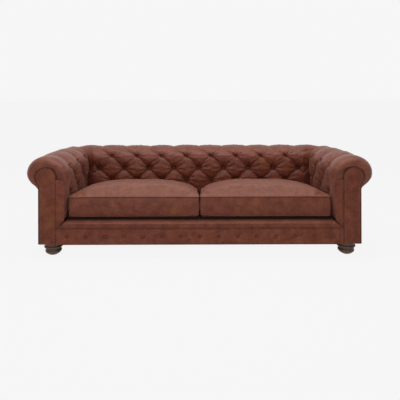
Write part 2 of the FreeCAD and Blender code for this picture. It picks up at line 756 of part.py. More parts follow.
def spring_clip(across, along):
    """A saddle over the spring's end run, standing on the rail."""
    width, depth = size("clip_width"), 3 * wire + 8
    low = Vector(across - width / 2, along - depth / 2, rail_top)
    saddle = Part.makeBox(width, depth, size("clip_height"), low)
    channel = Part.makeBox(width + 2, 2 * (wire + gap), 2 * (wire + gap) + 0.1,
                           Vector(across - width / 2 - 1, along - wire - gap, rail_top - 0.1))
    return saddle.cut(channel)


feature("spring_clips", Part.makeCompound([
    spring_clip(place, along) for place in spring_places for along in (spring_front, spring_back)]))

tie_height = wire_height + wire + gap + size("tie_wire_radius")
tie_reach = half + number_of(RAIL_REACH) - gap
tie_wires = []
for row in range(1, int(size("tie_wire_count")) + 1):
    along = spring_front + row * (spring_back - spring_front) / (size("tie_wire_count") + 1)
    tie_wires.append(Part.makeCylinder(size("tie_wire_radius"), 2 * tie_reach,
                                       Vector(-tie_reach, along, tie_height), Vector(1, 0, 0)))
feature("spring_tie_wires", Part.makeCompound(tie_wires))

# Deck
burlap_bottom = max(tie_height + size("tie_wire_radius"), rail_top + size("clip_height")) + gap
DECK_FRONT = f"({FRONT} + lip_depth + fit_gap)"
deck_front = number_of(DECK_FRONT)


def deck_layer(label, bottom, top):
    reach = half + size("stuffing_depth")
    layer = Part.makeBox(2 * reach, back + size("stuffing_depth") - deck_front, top - bottom,
                         Vector(-reach, deck_front, bottom))
    feature(label, layer)


pad_bottom = burlap_bottom + size("burlap_thickness") + gap
cover_bottom = deck_top - size("deck_cover_thickness")
deck_layer("deck_burlap", burlap_bottom, burlap_bottom + size("burlap_thickness"))
deck_layer("deck_pad", pad_bottom, cover_bottom - gap)
deck_layer("deck_cover", cover_bottom, deck_top)

# Tufted upholstery
back_run = BackRun()
arm_run = ArmRun()
feature("back_cover", back_run.cover())
feature("back_stuffing", back_run.stuffing())
feature("back_buttons", tuft_buttons(back_run))
arm_cover = feature("arm_cover_right", arm_run.cover())
arm_stuffing = feature("arm_stuffing_right", arm_run.stuffing())
arm_buttons = feature("arm_buttons_right", tuft_buttons(arm_run))
mirrored(arm_cover, "arm_cover_left")
mirrored(arm_stuffing, "arm_stuffing_left")
mirrored(arm_buttons, "arm_buttons_left")

# Outside panels
OUTSIDE_HEIGHT = f"({TOP_RAIL_BOTTOM} - fit_gap - foot_height)"
outside_arm = board("outside_arm_panel_right", (f"{HALF} + {PANEL_INNER}", PANEL_BACK, "foot_height"),
                    ("outside_panel_thickness", f"{BACK} + outside_reach - {PANEL_BACK}", OUTSIDE_HEIGHT))
mirrored(outside_arm, "outside_arm_panel_left")
board("outside_back_panel", (f"-({HALF} + {PANEL_INNER} - fit_gap)", f"{BACK} + {PANEL_INNER}", "foot_height"),
      (f"2 * ({HALF} + {PANEL_INNER} - fit_gap)", "outside_panel_thickness", OUTSIDE_HEIGHT))

# Arm facings: a straight stem and a round head
HEAD_REACH = "(facing_inner_reach + facing_head_radius)"
stem = doc.addObject("Part::Box", "facing_stem")
bind(stem, Length="outside_reach - facing_inner_reach", Width="panel_thickness",
     Height="facing_head_height - foot_height")
for axis, place in zip("xyz", (f"{HALF} + facing_inner_reach", FRONT, "foot_height")):
    stem.setExpression(f"Placement.Base.{axis}", linked(place))
head = doc.addObject("Part::Cylinder", "facing_head")
bind(head, Radius="facing_head_radius", Height="panel_thickness")
head.Placement = FreeCAD.Placement(Vector(0, 0, 0), FreeCAD.Rotation(Vector(1, 0, 0), -90))
for axis, place in zip("xyz", (f"{HALF} + {HEAD_REACH}", FRONT, "facing_head_height")):
    head.setExpression(f"Placement.Base.{axis}", linked(place))
facing = doc.addObject("Part::Fuse", "arm_facing_right")
facing.Base = stem
facing.Tool = head
facing.Refine = True
keep(facing, "arm_facing_right")
mirrored(facing, "arm_facing_left")


def nail_line():
    """Nail places round one facing, a fixed way in from its edge."""
    edge = size("nail_edge")
    inner = size("facing_inner_reach") + edge
    outer = size("outside_reach") - edge
    radius = size("facing_head_radius") - edge
    head_reach, head_height = number_of(HEAD_REACH), size("facing_head_height")
    pitch = size("nail_pitch")
    spots = []
    straight = head_height - size("foot_height") - edge
    for row in range(int(straight // pitch)):
        spots.append((inner, size("foot_height") + edge + row * pitch))
    pinch = math.degrees(math.acos(min((outer - head_reach) / radius, 1)))
    arc_length = math.radians(180 + pinch) * radius
    count = int(arc_length // pitch)
    for row in range(count + 1):
        angle = math.radians(180 - row * (180 + pinch) / count)
        spots.append((head_reach + radius * math.cos(angle), head_height + radius * math.sin(angle)))
    bottom_of_arc = head_height - radius * math.sin(math.radians(pinch))
    for row in range(1, int((bottom_of_arc - size("foot_height") - edge) // pitch) + 1):
        spots.append((outer, bottom_of_arc - row * pitch))
    return spots


def dome(radius, rise, foot, out):
    """A low round head that stands on its flat side."""
    ball = (radius ** 2 + rise ** 2) / (2 * rise)
    start = math.degrees(math.asin((ball - rise) / ball))
    return Part.makeSphere(ball, foot + out * (rise - ball), out, start, 90, 360)


forward = Vector(0, -1, 0)
nails = []
for reach, height in nail_line():
    for sign in (-1, 1):
        foot = Vector(sign * (half + reach), front, height)
        nails.append(dome(size("nail_radius"), size("nail_rise"), foot, forward))
feature("facing_nails", Part.makeCompound(nails))

# Inner front panels beside the seat, mitred to the lip
lip_bottom = number_of(BORDER_TOP)
lip_top = lip_bottom + size("lip_height")
mitre_low = half + size("facing_inner_reach")
lean_at_lip = arm_run.lean(deck_top)
mitre_high = half + lean_at_lip


def front_prism(outline, thickness):
    """An upright plate of the given outline, from the front plane back."""
    face = polygon_face([Vector(x, front, z) for x, z in outline])
    return face.extrude(Vector(0, thickness, 0))


shoulder = size("front_panel_shoulder")
panel_top = size("front_panel_height")
panel_edge = half + 2 * gap
panel_outline = (
    (mitre_low - gap, lip_bottom + gap), (mitre_high, lip_top + gap), (panel_edge + 12, panel_top - 2 * shoulder),
    (panel_edge + 13, panel_top - shoulder), (panel_edge + 13 + shoulder * 0.3, panel_top - shoulder * 0.3),
    (panel_edge + 13 + shoulder, panel_top), (mitre_low - gap, panel_top))
front_panel = feature("inner_front_panel_right", front_prism(panel_outline, size("panel_thickness")))
mirrored(front_panel, "inner_front_panel_left")

lip_outline = ((-mitre_low + 2 * gap, lip_bottom + gap), (mitre_low - 2 * gap, lip_bottom + gap),
               (mitre_high - 2 * gap, lip_top), (-mitre_high + 2 * gap, lip_top))
lip = front_prism(lip_outline, size("lip_depth"))
LIP_ROUND = 14
front_edges = [edge for edge in lip.Edges
               if abs(edge.BoundBox.YMax - front) < 0.01 and edge.BoundBox.ZLength < 0.01
               and abs(edge.BoundBox.ZMin - lip_top) < 0.01]
feature("deck_lip", lip.makeFillet(LIP_ROUND, front_edges))

# Front border with its covered buttons
board("front_border", (f"-({HALF} + facing_inner_reach - fit_gap)", FRONT, "foot_height"),
      (f"2 * ({HALF} + facing_inner_reach - fit_gap)", "panel_thickness", "border_height"))
border_places = [(row - (size("border_button_count") - 1) / 2) * size("border_button_pitch")
                 for row in range(int(size("border_button_count")))]
button_height = size("foot_height") + size("border_height") / 2
feature("border_buttons", Part.makeCompound([
    dome(size("border_button_radius"), size("border_button_rise"), Vector(place, front, button_height), forward)
    for place in border_places]))

# Dust cover under the frame
dust_reach = half + number_of(PANEL_INNER) - size("dust_cover_inset")
dust_front = number_of(PANEL_BACK) + size("dust_cover_inset")
dust_back = back + number_of(PANEL_INNER) - size("dust_cover_inset")
dust = Part.makeBox(2 * dust_reach, dust_back - dust_front, size("dust_cover_thickness"),
                    Vector(-dust_reach, dust_front, size("foot_height") + gap))
for centre in foot_centres:
    dust = dust.cut(Part.makeCylinder(size("bolt_radius") + gap, 6, Vector(centre.x, centre.y, size("foot_height") - 2)))
feature("dust_cover", dust)

# Loose seat cushions
cushion_inner = size("cushion_gap") / 2
cushion_outer = half - size("cushion_side_gap")
cushion_front = front + size("cushion_setback")
cushion_rear = back - size("cushion_back_gap")
cushion_bottom = deck_top + gap


def cushion_section(along, share, inset):
    """One upright section: flat below, drawn-in sides and a crowned top."""
    ends = math.sin(math.pi * share)
    draw = size("cushion_draw") * (1 - (2 * share - 1) ** 4) + inset + size("cushion_bulge")
    low_x, high_x = cushion_inner + draw, cushion_outer - draw
    fullness = min(ends, 1) ** 0.45
    seam = cushion_bottom + size("cushion_height") - inset - (1 - fullness) * size("cushion_corner_drop")
    crown = size("cushion_crown") * (0.12 + 0.88 * fullness)
    bulge = size("cushion_bulge")
    bottom = cushion_bottom + inset
    middle = (bottom + seam) / 2
    corner = [Vector(x, along, z) for x, z in ((low_x, bottom), (high_x, bottom), (high_x, seam), (low_x, seam))]
    edges = [
        Part.makeLine(corner[0], corner[1]),
        Part.Arc(corner[1], Vector(high_x + bulge, along, middle), corner[2]).toShape(),
        Part.Arc(corner[2], Vector((low_x + high_x) / 2, along, seam + crown), corner[3]).toShape(),
        Part.Arc(corner[3], Vector(low_x - bulge, along, middle), corner[0]).toShape()]
    return Part.Wire(edges)


def cushion_solid(inset):
    shares = (0.0, 0.05, 0.18, 0.5, 0.82, 0.95, 1.0)
    length = cushion_rear - cushion_front - 2 * inset
    wires = [cushion_section(cushion_front + inset + share * length, share, inset) for share in shares]
    return Part.makeLoft(wires, True, False)


skin = size("cushion_skin")
cushion_cover = feature("cushion_cover_right", cushion_solid(0).cut(cushion_solid(skin)))
cushion_core = feature("cushion_core_right", cushion_solid(skin + gap))
mirrored(cushion_cover, "cushion_cover_left")
mirrored(cushion_core, "cushion_core_left")

zip_middle = (cushion_inner + cushion_outer) / 2
zip_low = cushion_bottom + size("cushion_height") / 2 - size("zip_width") / 2
zip_strip = feature("cushion_zip_right", Part.makeBox(
    size("zip_length"), size("zip_thickness"), size("zip_width"),
    Vector(zip_middle - size("zip_length") / 2, cushion_rear + gap, zip_low)))
mirrored(zip_strip, "cushion_zip_left")
slider_low = cushion_bottom + size("cushion_height") / 2 - size("slider_width") / 2
slider = feature("zip_slider_right", Part.makeBox(
    size("slider_length"), size("slider_thickness"), size("slider_width"),
    Vector(zip_middle - size("zip_length") / 2, cushion_rear + 2 * gap + size("zip_thickness"), slider_low)))
mirrored(slider, "zip_slider_left")

# Check every object, then write each sub-part
doc.recompute()
for thing in doc.Objects:
    if any(word in ("Invalid", "Error") for word in thing.State):
        raise RuntimeError(f"{thing.Label} failed: {thing.State}")
for piece in sub_parts:
    if piece.Shape.isNull() or not piece.Shape.isValid():
        raise RuntimeError(f"{piece.Label} has no valid shape")

os.makedirs("parts", exist_ok=True)
for piece in sub_parts:
    piece.Shape.exportStep(os.path.join("parts", piece.Label + ".step"))
print(len(sub_parts), "sub-parts written")
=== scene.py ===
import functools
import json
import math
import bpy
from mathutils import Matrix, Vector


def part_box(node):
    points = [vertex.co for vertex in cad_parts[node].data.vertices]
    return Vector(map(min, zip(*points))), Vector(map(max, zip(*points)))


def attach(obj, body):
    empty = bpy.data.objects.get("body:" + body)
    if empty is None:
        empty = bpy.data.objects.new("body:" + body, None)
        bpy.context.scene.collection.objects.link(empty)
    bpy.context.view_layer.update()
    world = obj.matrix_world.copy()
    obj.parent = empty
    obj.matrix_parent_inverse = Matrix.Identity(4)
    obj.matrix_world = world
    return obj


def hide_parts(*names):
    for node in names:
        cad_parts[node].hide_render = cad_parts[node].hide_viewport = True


bl_info = {
    "name": "Chesterfield Sofa",
    "version": (1, 0, 0),
    "blender": (4, 5, 0),
    "location": "View3D > Sidebar > Sofa",
    "description": "Deep-buttoned leather sofa with rolled arms, two loose cushions and bun feet",
    "category": "Add Mesh",
}

import bmesh
import bpy
from bpy.props import FloatProperty, FloatVectorProperty, PointerProperty
from mathutils import Vector, noise

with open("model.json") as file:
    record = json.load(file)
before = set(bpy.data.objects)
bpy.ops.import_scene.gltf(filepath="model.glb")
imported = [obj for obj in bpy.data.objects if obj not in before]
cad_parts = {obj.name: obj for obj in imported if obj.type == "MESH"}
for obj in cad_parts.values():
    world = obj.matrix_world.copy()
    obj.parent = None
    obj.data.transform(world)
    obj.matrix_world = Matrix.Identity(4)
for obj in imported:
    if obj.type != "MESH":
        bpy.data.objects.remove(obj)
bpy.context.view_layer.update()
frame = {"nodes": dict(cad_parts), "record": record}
MM = 0.001
SOFA = "sofa"
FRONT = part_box("arm_facing_right")[0].y
DECK_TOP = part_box("deck_cover")[1].z
SIDES = ((1, "right"), (-1, "left"))
FACING_INNER = 0.079
NOISE_SEED = 5


# Settings that a user would change


def length(name, description, default):
    return FloatProperty(name=name, description=description, default=default, unit="LENGTH")


def colour(name, description, default):
    return FloatVectorProperty(name=name, description=description, default=default,
                               subtype="COLOR", size=3, min=0.0, max=1.0)


class SofaSizes(bpy.types.PropertyGroup):
    """Sizes of the sofa, in metres."""

    seat_width: length("Seat width", "Between the faces of the two arms", 1.936)
    seat_depth: length("Seat depth", "From the facings to the face of the back", 0.680)
    roll_half_width: length("Roll half width", "Half the width of the roll", 0.141)
    roll_half_height: length("Roll half height", "Half the height of the roll", 0.107)
    roll_centre: length("Roll centre", "Height of the middle of the roll", 0.600)
    roll_tuck: length("Roll tuck", "Height where the roll's leather goes behind the outside panel", 0.485)
    outside_reach: length("Outside reach", "From an arm's face to its outside panel", 0.202)
    face_lean: length("Face lean", "How far the upholstered face leans in at the roll", 0.018)
    tuft_pitch: length("Tuft pitch", "Between two buttons of one row", 0.222)
    tuft_depth: length("Tuft depth", "From a puff's top down to its button", 0.045)
    pleat_depth: length("Pleat depth", "From a puff's top down to the pleat", 0.021)
    fold_depth: length("Fold depth", "Depth of the folds that run over the roll", 0.020)
    button_radius: length("Button radius", "Covered buttons in the tufts", 0.011)
    border_button_radius: length("Border button radius", "Small buttons of the front border", 0.008)
    roll_round: length("Roll front rounding", "Rounding of the roll's front end", 0.042)
    arm_roll_fullness: length("Arm roll fullness", "How far the arms' rolls swell beyond the back's", 0.028)
    roll_inset: length("Roll front inset", "How far the roll's front end draws in", 0.056)
    welt_radius: length("Welt radius", "Cord sewn into the seams", 0.0032)
    cushion_crown: length("Cushion crown", "Rise of a cushion above its seam", 0.047)
    cushion_draw: length("Cushion draw", "How far a cushion's sides pull in behind its front corners", 0.013)


class SofaColours(bpy.types.PropertyGroup):
    """Colours of the sofa's finishes."""

    leather: colour("Leather", "Middle tone of the waxed leather", (0.143, 0.0285, 0.0098))
    # Leather, dark: darker clouds, and also the deep tone of the painted shade in folds
    leather_dark_and_fold_shade: colour("Leather, dark", "Darker clouds and pleats", (0.072, 0.0125, 0.0055))
    # Leather, worn: rubbed places, and also the colour of the painted highlight on upward-facing tops
    leather_rub_and_painted_light: colour("Leather, worn", "Rubbed places", (0.270, 0.105, 0.068))
    foot: colour("Foot", "Stained beech", (0.066, 0.031, 0.016))
    frame: colour("Frame", "Bare beech and plywood", (0.46, 0.29, 0.16))
    nail: colour("Nail", "Antique brass", (0.25, 0.115, 0.075))
    steel: colour("Steel", "Springs, screws and bolts", (0.42, 0.42, 0.43))
    cloth: colour("Black cloth", "Decking and dust cover", (0.026, 0.011, 0.008))
    webbing: colour("Webbing", "Jute and burlap", (0.34, 0.22, 0.11))
    background: colour("Background", "Floor and backdrop", (0.921, 0.921, 0.921))


def sizes():
    return bpy.context.scene.sofa_sizes


def colours():
    return bpy.context.scene.sofa_colours


# Materials


def opaque(rgb):
    return (*rgb, 1.0)


def shaded(tone, gain):
    """A colour made darker or lighter."""
    return [min(part * gain, 1.0) for part in tone]


class Nodes:
    """A node tree being filled: each method adds a node and returns one of its outputs."""

    def __init__(self, owner):
        owner.use_nodes = True
        self.owner, self.tree = owner, owner.node_tree
        self.tree.nodes.clear()

    def add(self, kind, values=(), output=0, **settings):
        """A value that is a socket is linked, and any other is set."""
        node = self.tree.nodes.new(kind)
        for name, value in settings.items():
            setattr(node, name, value)
        for name, value in dict(values).items():
            if isinstance(value, bpy.types.NodeSocket):
                self.tree.links.new(value, node.inputs[name])
            else:
                node.inputs[name].default_value = value
        return node.outputs[output] if node.outputs else None

    def place(self, scale=(1, 1, 1), turn=(0, 0, 0), shift=(0, 0, 0)):
        """Object coordinates, stretched and turned for one pattern."""
        spot = self.add("ShaderNodeTexCoord", output="Object")
        return self.add("ShaderNodeMapping", {"Vector": spot, "Scale": scale, "Rotation": turn, "Location": shift})

    def noise(self, vector, scale, detail=4.0, roughness=0.55, distortion=0.0):
        return self.add("ShaderNodeTexNoise", {"Vector": vector, "Scale": scale, "Detail": detail,
                                               "Roughness": roughness, "Distortion": distortion}, "Fac")

    def cells(self, vector, scale, feature="F1"):
        return self.add("ShaderNodeTexVoronoi", {"Vector": vector, "Scale": scale, "Randomness": 1.0},
                        "Distance", feature=feature)

    def spread(self, value, low, high, to_low=0.0, to_high=1.0):
        """A value stretched from one range to another, and held inside it."""
        return self.add("ShaderNodeMapRange", {"Value": value, "From Min": low, "From Max": high,
                                               "To Min": to_low, "To Max": to_high})

    def blend(self, share, first, second):
        """From the first colour to the second by a share."""
        ends = [end if isinstance(end, bpy.types.NodeSocket) else opaque(end) for end in (first, second)]
        return self.add("ShaderNodeMix", {0: share, 6: ends[0], 7: ends[1]}, 2, data_type="RGBA")

    def combine(self, operation, first, second):
        return self.add("ShaderNodeMath", {0: first, 1: second}, operation=operation)

    def total(self, *weighted):
        """Values added up, each with its weight."""
        scaled = [self.combine("MULTIPLY", value, weight) for value, weight in weighted]
        return functools.reduce(functools.partial(self.combine, "ADD"), scaled)

    def bump(self, height, strength, distance):
        return self.add("ShaderNodeBump", {"Height": height, "Strength": strength, "Distance": distance})

    def material(self, values):
        """The material, finished with a principled shader."""
        self.add("ShaderNodeOutputMaterial", {"Surface": self.add("ShaderNodeBsdfPrincipled", values)})
        return self.owner


def leather(name, warmth=0.0, shift=(0.0, 0.0, 0.0), gloss=0.0, tone=1.0, painted_top_light=0.16, shine=0.16):
    """Waxed leather: clouds of colour, rubbed places, a painted highlight on upward-facing tops, painted shade on
    folds' floors, creases and pores.
    """
    tones = colours()
    nodes = Nodes(bpy.data.materials.new(name))
    place = nodes.place(shift=shift)
    clouds = nodes.spread(nodes.noise(place, 3.6, 5.0, 0.6, 0.6), 0.34, 0.68)
    patches = nodes.spread(nodes.noise(place, 17.0, 6.0, 0.62, 0.3), 0.38, 0.72)
    specks = nodes.spread(nodes.noise(place, 85.0, 5.0, 0.7), 0.45, 0.75)
    soft = nodes.noise(place, 46.0, 5.0, 0.6, 0.8)
    streaked = nodes.place((26, 60, 60), (0, 0.5, 0.7), shift)
    rubs = nodes.spread(nodes.noise(streaked, 1.0, 7.0, 0.68, 1.2), 0.58, 0.74)
    creases = nodes.spread(nodes.cells(place, 68.0, "DISTANCE_TO_EDGE"), 0.0, 0.10)
    normal = nodes.add("ShaderNodeTexCoord", output="Normal")
    # Upward-facing places get a painted highlight
    painted_top_light_mask = nodes.spread(nodes.add("ShaderNodeSeparateXYZ", {0: normal}, "Z"), 0.45, 0.98)
    # The sunk attribute says how deep a point lies in a fold or pit; it paints shade there
    sunk = nodes.add("ShaderNodeAttribute", output="Fac", attribute_name="sunk")

    dark = [tone * (0.8 * deep + 0.2 * middle) for deep, middle in zip(tones.leather_dark_and_fold_shade, tones.leather)]
    gains = (1.08 + 0.08 * warmth, 1.34 + 0.25 * warmth, 1.0 + 0.1 * warmth)
    warm = [tone * part * gain for part, gain in zip(tones.leather, gains)]
    cool = [part * gain for part, gain in zip(warm, (0.82, 0.57, 1.3))]
    ground = nodes.blend(clouds, cool, warm)
    ground = nodes.blend(nodes.spread(patches, 0.0, 1.0, 0.75, 0.0), ground, dark)
    # Lighter in random rubs, specks and patches, and on upward-facing tops as a painted highlight
    lift = nodes.total((rubs, 0.38), (specks, 0.16), (patches, 0.18), (painted_top_light_mask, painted_top_light))
    ground = nodes.blend(lift, ground, tones.leather_rub_and_painted_light)
    # Painted shade: the floors of folds, pits and dimples darkened towards a deep leather tone
    ground = nodes.blend(nodes.spread(sunk, 0.42, 1.0, 0.0, 0.88), ground, shaded(tones.leather_dark_and_fold_shade, 0.35))
    rough = nodes.total((patches, 0.10), (specks, 0.07), (sunk, 0.16))
    height = nodes.total((nodes.cells(place, 620.0), 0.10), (creases, 0.10), (soft, 0.9), (rubs, -0.18))
    return nodes.material({"Base Color": ground, "Normal": nodes.bump(height, 0.6, 0.0032),
                          "Roughness": nodes.spread(rough, 0.0, 0.33, 0.40 - gloss, 0.66 - gloss),
                          "Specular IOR Level": shine, "Sheen Weight": 0.11, "Sheen Roughness": 0.45,
                          "Sheen Tint": (1.0, 0.82, 0.78, 1.0)})


def wood(name, tone, scale=1.0, roughness=0.42, turn=(0, 0, 0)):
    """Straight grain with darker pores, under stain or bare."""
    nodes = Nodes(bpy.data.materials.new(name))
    grain = nodes.noise(nodes.place((38 * scale, 38 * scale, 3.2 * scale), turn), 1.0, 8.0, 0.62, 1.4)
    fine = nodes.noise(nodes.place((420 * scale, 420 * scale, 16 * scale), turn), 1.0, 3.0, 0.6)
    ground = nodes.blend(nodes.spread(grain, 0.32, 0.68), shaded(tone, 0.5), shaded(tone, 1.75))
    ground = nodes.blend(nodes.spread(fine, 0.55, 0.8, 0.0, 0.5), ground, shaded(tone, 0.5))
    return nodes.material({"Base Color": ground,
                          "Roughness": nodes.spread(grain, 0.3, 0.7, roughness - 0.07, roughness + 0.1),
                          "Normal": nodes.bump(nodes.total((grain, 0.6), (fine, -0.4)), 0.35, 0.0006)})


def metal(name, tone, roughness=0.35, patina=0.35):
    """Metal with a darker patina in patches and fine scratches."""
    nodes = Nodes(bpy.data.materials.new(name))
    age = nodes.spread(nodes.noise(nodes.place(), 120.0, 5.0, 0.65), 0.35, 0.7)
    scratches = nodes.noise(nodes.place((900, 60, 900), (0.3, 0.4, 0.2)), 1.0, 2.0)
    return nodes.material({"Base Color": nodes.blend(age, shaded(tone, 1 - patina), tone), "Metallic": 1.0,
                          "Roughness": nodes.spread(age, 0.0, 1.0, roughness + 0.15, roughness),
                          "Normal": nodes.bump(scratches, 0.15, 0.0002)})


def cloth(name, tone, threads=900.0, roughness=0.9, slub=0.35):
    """Plain weave, over and under, with uneven threads."""
    nodes = Nodes(bpy.data.materials.new(name))
    place = nodes.place()
    wave = {"Vector": place, "Scale": threads / 20.0, "Distortion": 0.6, "Detail": 1.0}
    weave = nodes.total(*[(nodes.add("ShaderNodeTexWave", wave, "Fac", bands_direction=direction), 0.34)
                          for direction in "XYZ"])
    uneven = nodes.noise(place, 60.0, 6.0, 0.7)
    ground = nodes.blend(nodes.spread(uneven, 0.3, 0.7), shaded(tone, 1 - slub), shaded(tone, 1 + slub))
    ground = nodes.blend(nodes.spread(weave, 0.2, 0.6, 0.55, 0.0), ground, shaded(tone, 0.5))
    return nodes.material({"Base Color": ground, "Roughness": roughness, "Sheen Weight": 0.04,
                          "Specular IOR Level": 0.15,
                          "Normal": nodes.bump(nodes.total((weave, 1.0), (uneven, 0.5)), 0.6, 0.0008)})


def plastic(name, tone, roughness=0.5):
    """Moulded plastic with a faint orange-peel skin."""
    nodes = Nodes(bpy.data.materials.new(name))
    skin = nodes.noise(nodes.place(), 500.0, 2.0)
    return nodes.material({"Base Color": nodes.blend(skin, shaded(tone, 0.9), shaded(tone, 1.1)),
                          "Roughness": roughness, "Normal": nodes.bump(skin, 0.2, 0.0003)})


FINISHES = {}


def finish(look):
    """The material of one of the record's slots, or of the seams, made on first use."""
    tones = colours()
    makers = {
        # The sixth argument of leather() paints a highlight on upward-facing tops
        "leather": lambda: leather("sofa_leather", tone=1.08, painted_top_light=0.06, shine=0.30),
        "cushion_leather": lambda: leather("cushion_leather", 0.15, (3.1, 0.7, 1.9), 0.03, 1.0, 0.32, 0.2),
        "facing_leather": lambda: leather("facing_leather", 0.6, (1.3, 4.2, 0.4)),
        # The buttons are a lighter copy of the leather (tone 1.2): a painted highlight, so they read as lit dots
        # down in their pits
        "button_leather": lambda: leather("button_leather", 0.1, (5.3, 2.2, 2.4), 0.06, 1.2),
        # A darker copy of the leather (tone 0.42) for cords in the seams: painted shade for the dark seam lines
        "seam_leather": lambda: leather("seam_leather", -0.4, (2.3, 1.2, 6.4), 0.0, 0.42),
        "foot_wood": lambda: wood("foot_wood", tones.foot, roughness=0.55),
        "frame_wood": lambda: wood("frame_wood", tones.frame, 0.8, 0.62, turn=(0, math.pi / 2, 0)),
        "steel": lambda: metal("spring_steel", tones.steel),
        "nail_metal": lambda: metal("nail_brass", tones.nail, 0.38, 0.5),
        "glide_plastic": lambda: plastic("glide_plastic", (0.03, 0.028, 0.026)),
        "stuffing": lambda: cloth("felt_stuffing", (0.55, 0.5, 0.42), 300.0, 0.95, 0.15),
        "webbing": lambda: cloth("jute_webbing", tones.webbing, 500.0),
        "black_cloth": lambda: cloth("black_cloth", tones.cloth, 1500.0),
        "zip_tape": lambda: cloth("zip_tape", (0.05, 0.022, 0.016), 2200.0, 0.85, 0.1),
        "zip_metal": lambda: metal("zip_brass", (0.45, 0.32, 0.15), 0.3, 0.25),
    }
    if look not in FINISHES:
        FINISHES[look] = makers[look]()
    return FINISHES[look]


# Mesh helpers


def settle(name, bm, slot_name, body=SOFA, nodes=(), sharp=None, look=None):
    """Turns a bmesh into a finished piece that rides on its body."""
    mesh = bpy.data.meshes.new(name)
    bm.to_mesh(mesh)
    bm.free()
    mesh.shade_smooth()
    if sharp is not None:
        mesh.set_sharp_from_angle(angle=math.radians(sharp))
    mesh.materials.append(finish(look or slot_name))
    piece = bpy.data.objects.new(name, mesh)
    bpy.context.scene.collection.objects.link(piece)
    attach(piece, body)
    if nodes:
        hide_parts(*nodes)
    return piece


def clamp(value, low=0.0, high=1.0):
    return min(max(value, low), high)


def smooth_step(value):
    value = clamp(value)
    return value * value * (3 - 2 * value)


def ripple(x, y, z):
    """Smooth noise from about -1 to 1."""
    return noise.noise(Vector((x, y, z)))


def ring_wave(away):
    """Nothing at a middle, full at a distance of 1 and fading beyond it."""
    return away * math.exp(1 - away)


def chance(*numbers):
    """A steady random number from 0 to 1 for some whole numbers."""
    mixed = sum(number * weight for number, weight in zip(numbers, (12.9898, 78.233, 37.719)))
    total = math.sin(mixed) * 43758.5453
    return total - math.floor(total)


def turned(bm, profile, foot, axis, steps):
    """A profile of (radius, height) spun about an axis that starts at foot."""
    turn = Vector((0, 0, 1)).rotation_difference(Vector(axis)).to_matrix()
    spots = [bm.verts.new(Vector(foot) + turn @ Vector((radius, 0, height))) for radius, height in profile]
    edges = [bm.edges.new(pair) for pair in zip(spots, spots[1:])]
    bmesh.ops.spin(bm, geom=spots + edges, cent=foot, axis=axis, angle=math.tau, steps=steps, use_merge=True)


def mend(bm, distance=1e-5):
    """Merges doubled points and points every face outwards."""
    bmesh.ops.remove_doubles(bm, verts=bm.verts, dist=distance)
    bmesh.ops.recalc_face_normals(bm, faces=bm.faces)


def close(bm):
    """Fills the open rims and points every face outwards."""
    bmesh.ops.holes_fill(bm, edges=[edge for edge in bm.edges if edge.is_boundary])
    bmesh.ops.recalc_face_normals(bm, faces=bm.faces)


def skirt(bm, axis, place):
    """Draws the open rim of a sheet straight to a place on an axis, and closes the form there."""
    rim = [edge for edge in bm.edges if edge.is_boundary]
    for item in bmesh.ops.extrude_edge_only(bm, edges=rim)["geom"]:
        if isinstance(item, bmesh.types.BMVert):
            item.co[axis] = place
    close(bm)


def straight(start, end, count):
    """The points of a straight line, in a number of equal steps."""
    start, end = Vector(start), Vector(end)
    return [start.lerp(end, step / count) for step in range(count + 1)]


def cord_mesh(bm, points, radius, closed=False, sides=3):
    """A welt: a round cord along a line of points, added to a bmesh."""
    curve = bpy.data.curves.new("welt", "CURVE")
    curve.dimensions = "3D"
    curve.bevel_depth = radius
    curve.bevel_resolution = sides
    curve.use_fill_caps = not closed
    line = curve.splines.new("POLY")
    line.points.add(len(points) - 1)
    for spot, point in zip(line.points, points):
        spot.co = (*point, 1.0)
    line.use_cyclic_u = closed
    holder = bpy.data.objects.new("welt", curve)
    bpy.context.scene.collection.objects.link(holder)
    bpy.context.view_layer.update()
    tube = bpy.data.meshes.new_from_object(holder)
    bm.from_mesh(tube)
    bpy.data.objects.remove(holder)
    bpy.data.meshes.remove(tube)
    bpy.data.curves.remove(curve)


# The tufted arms and back


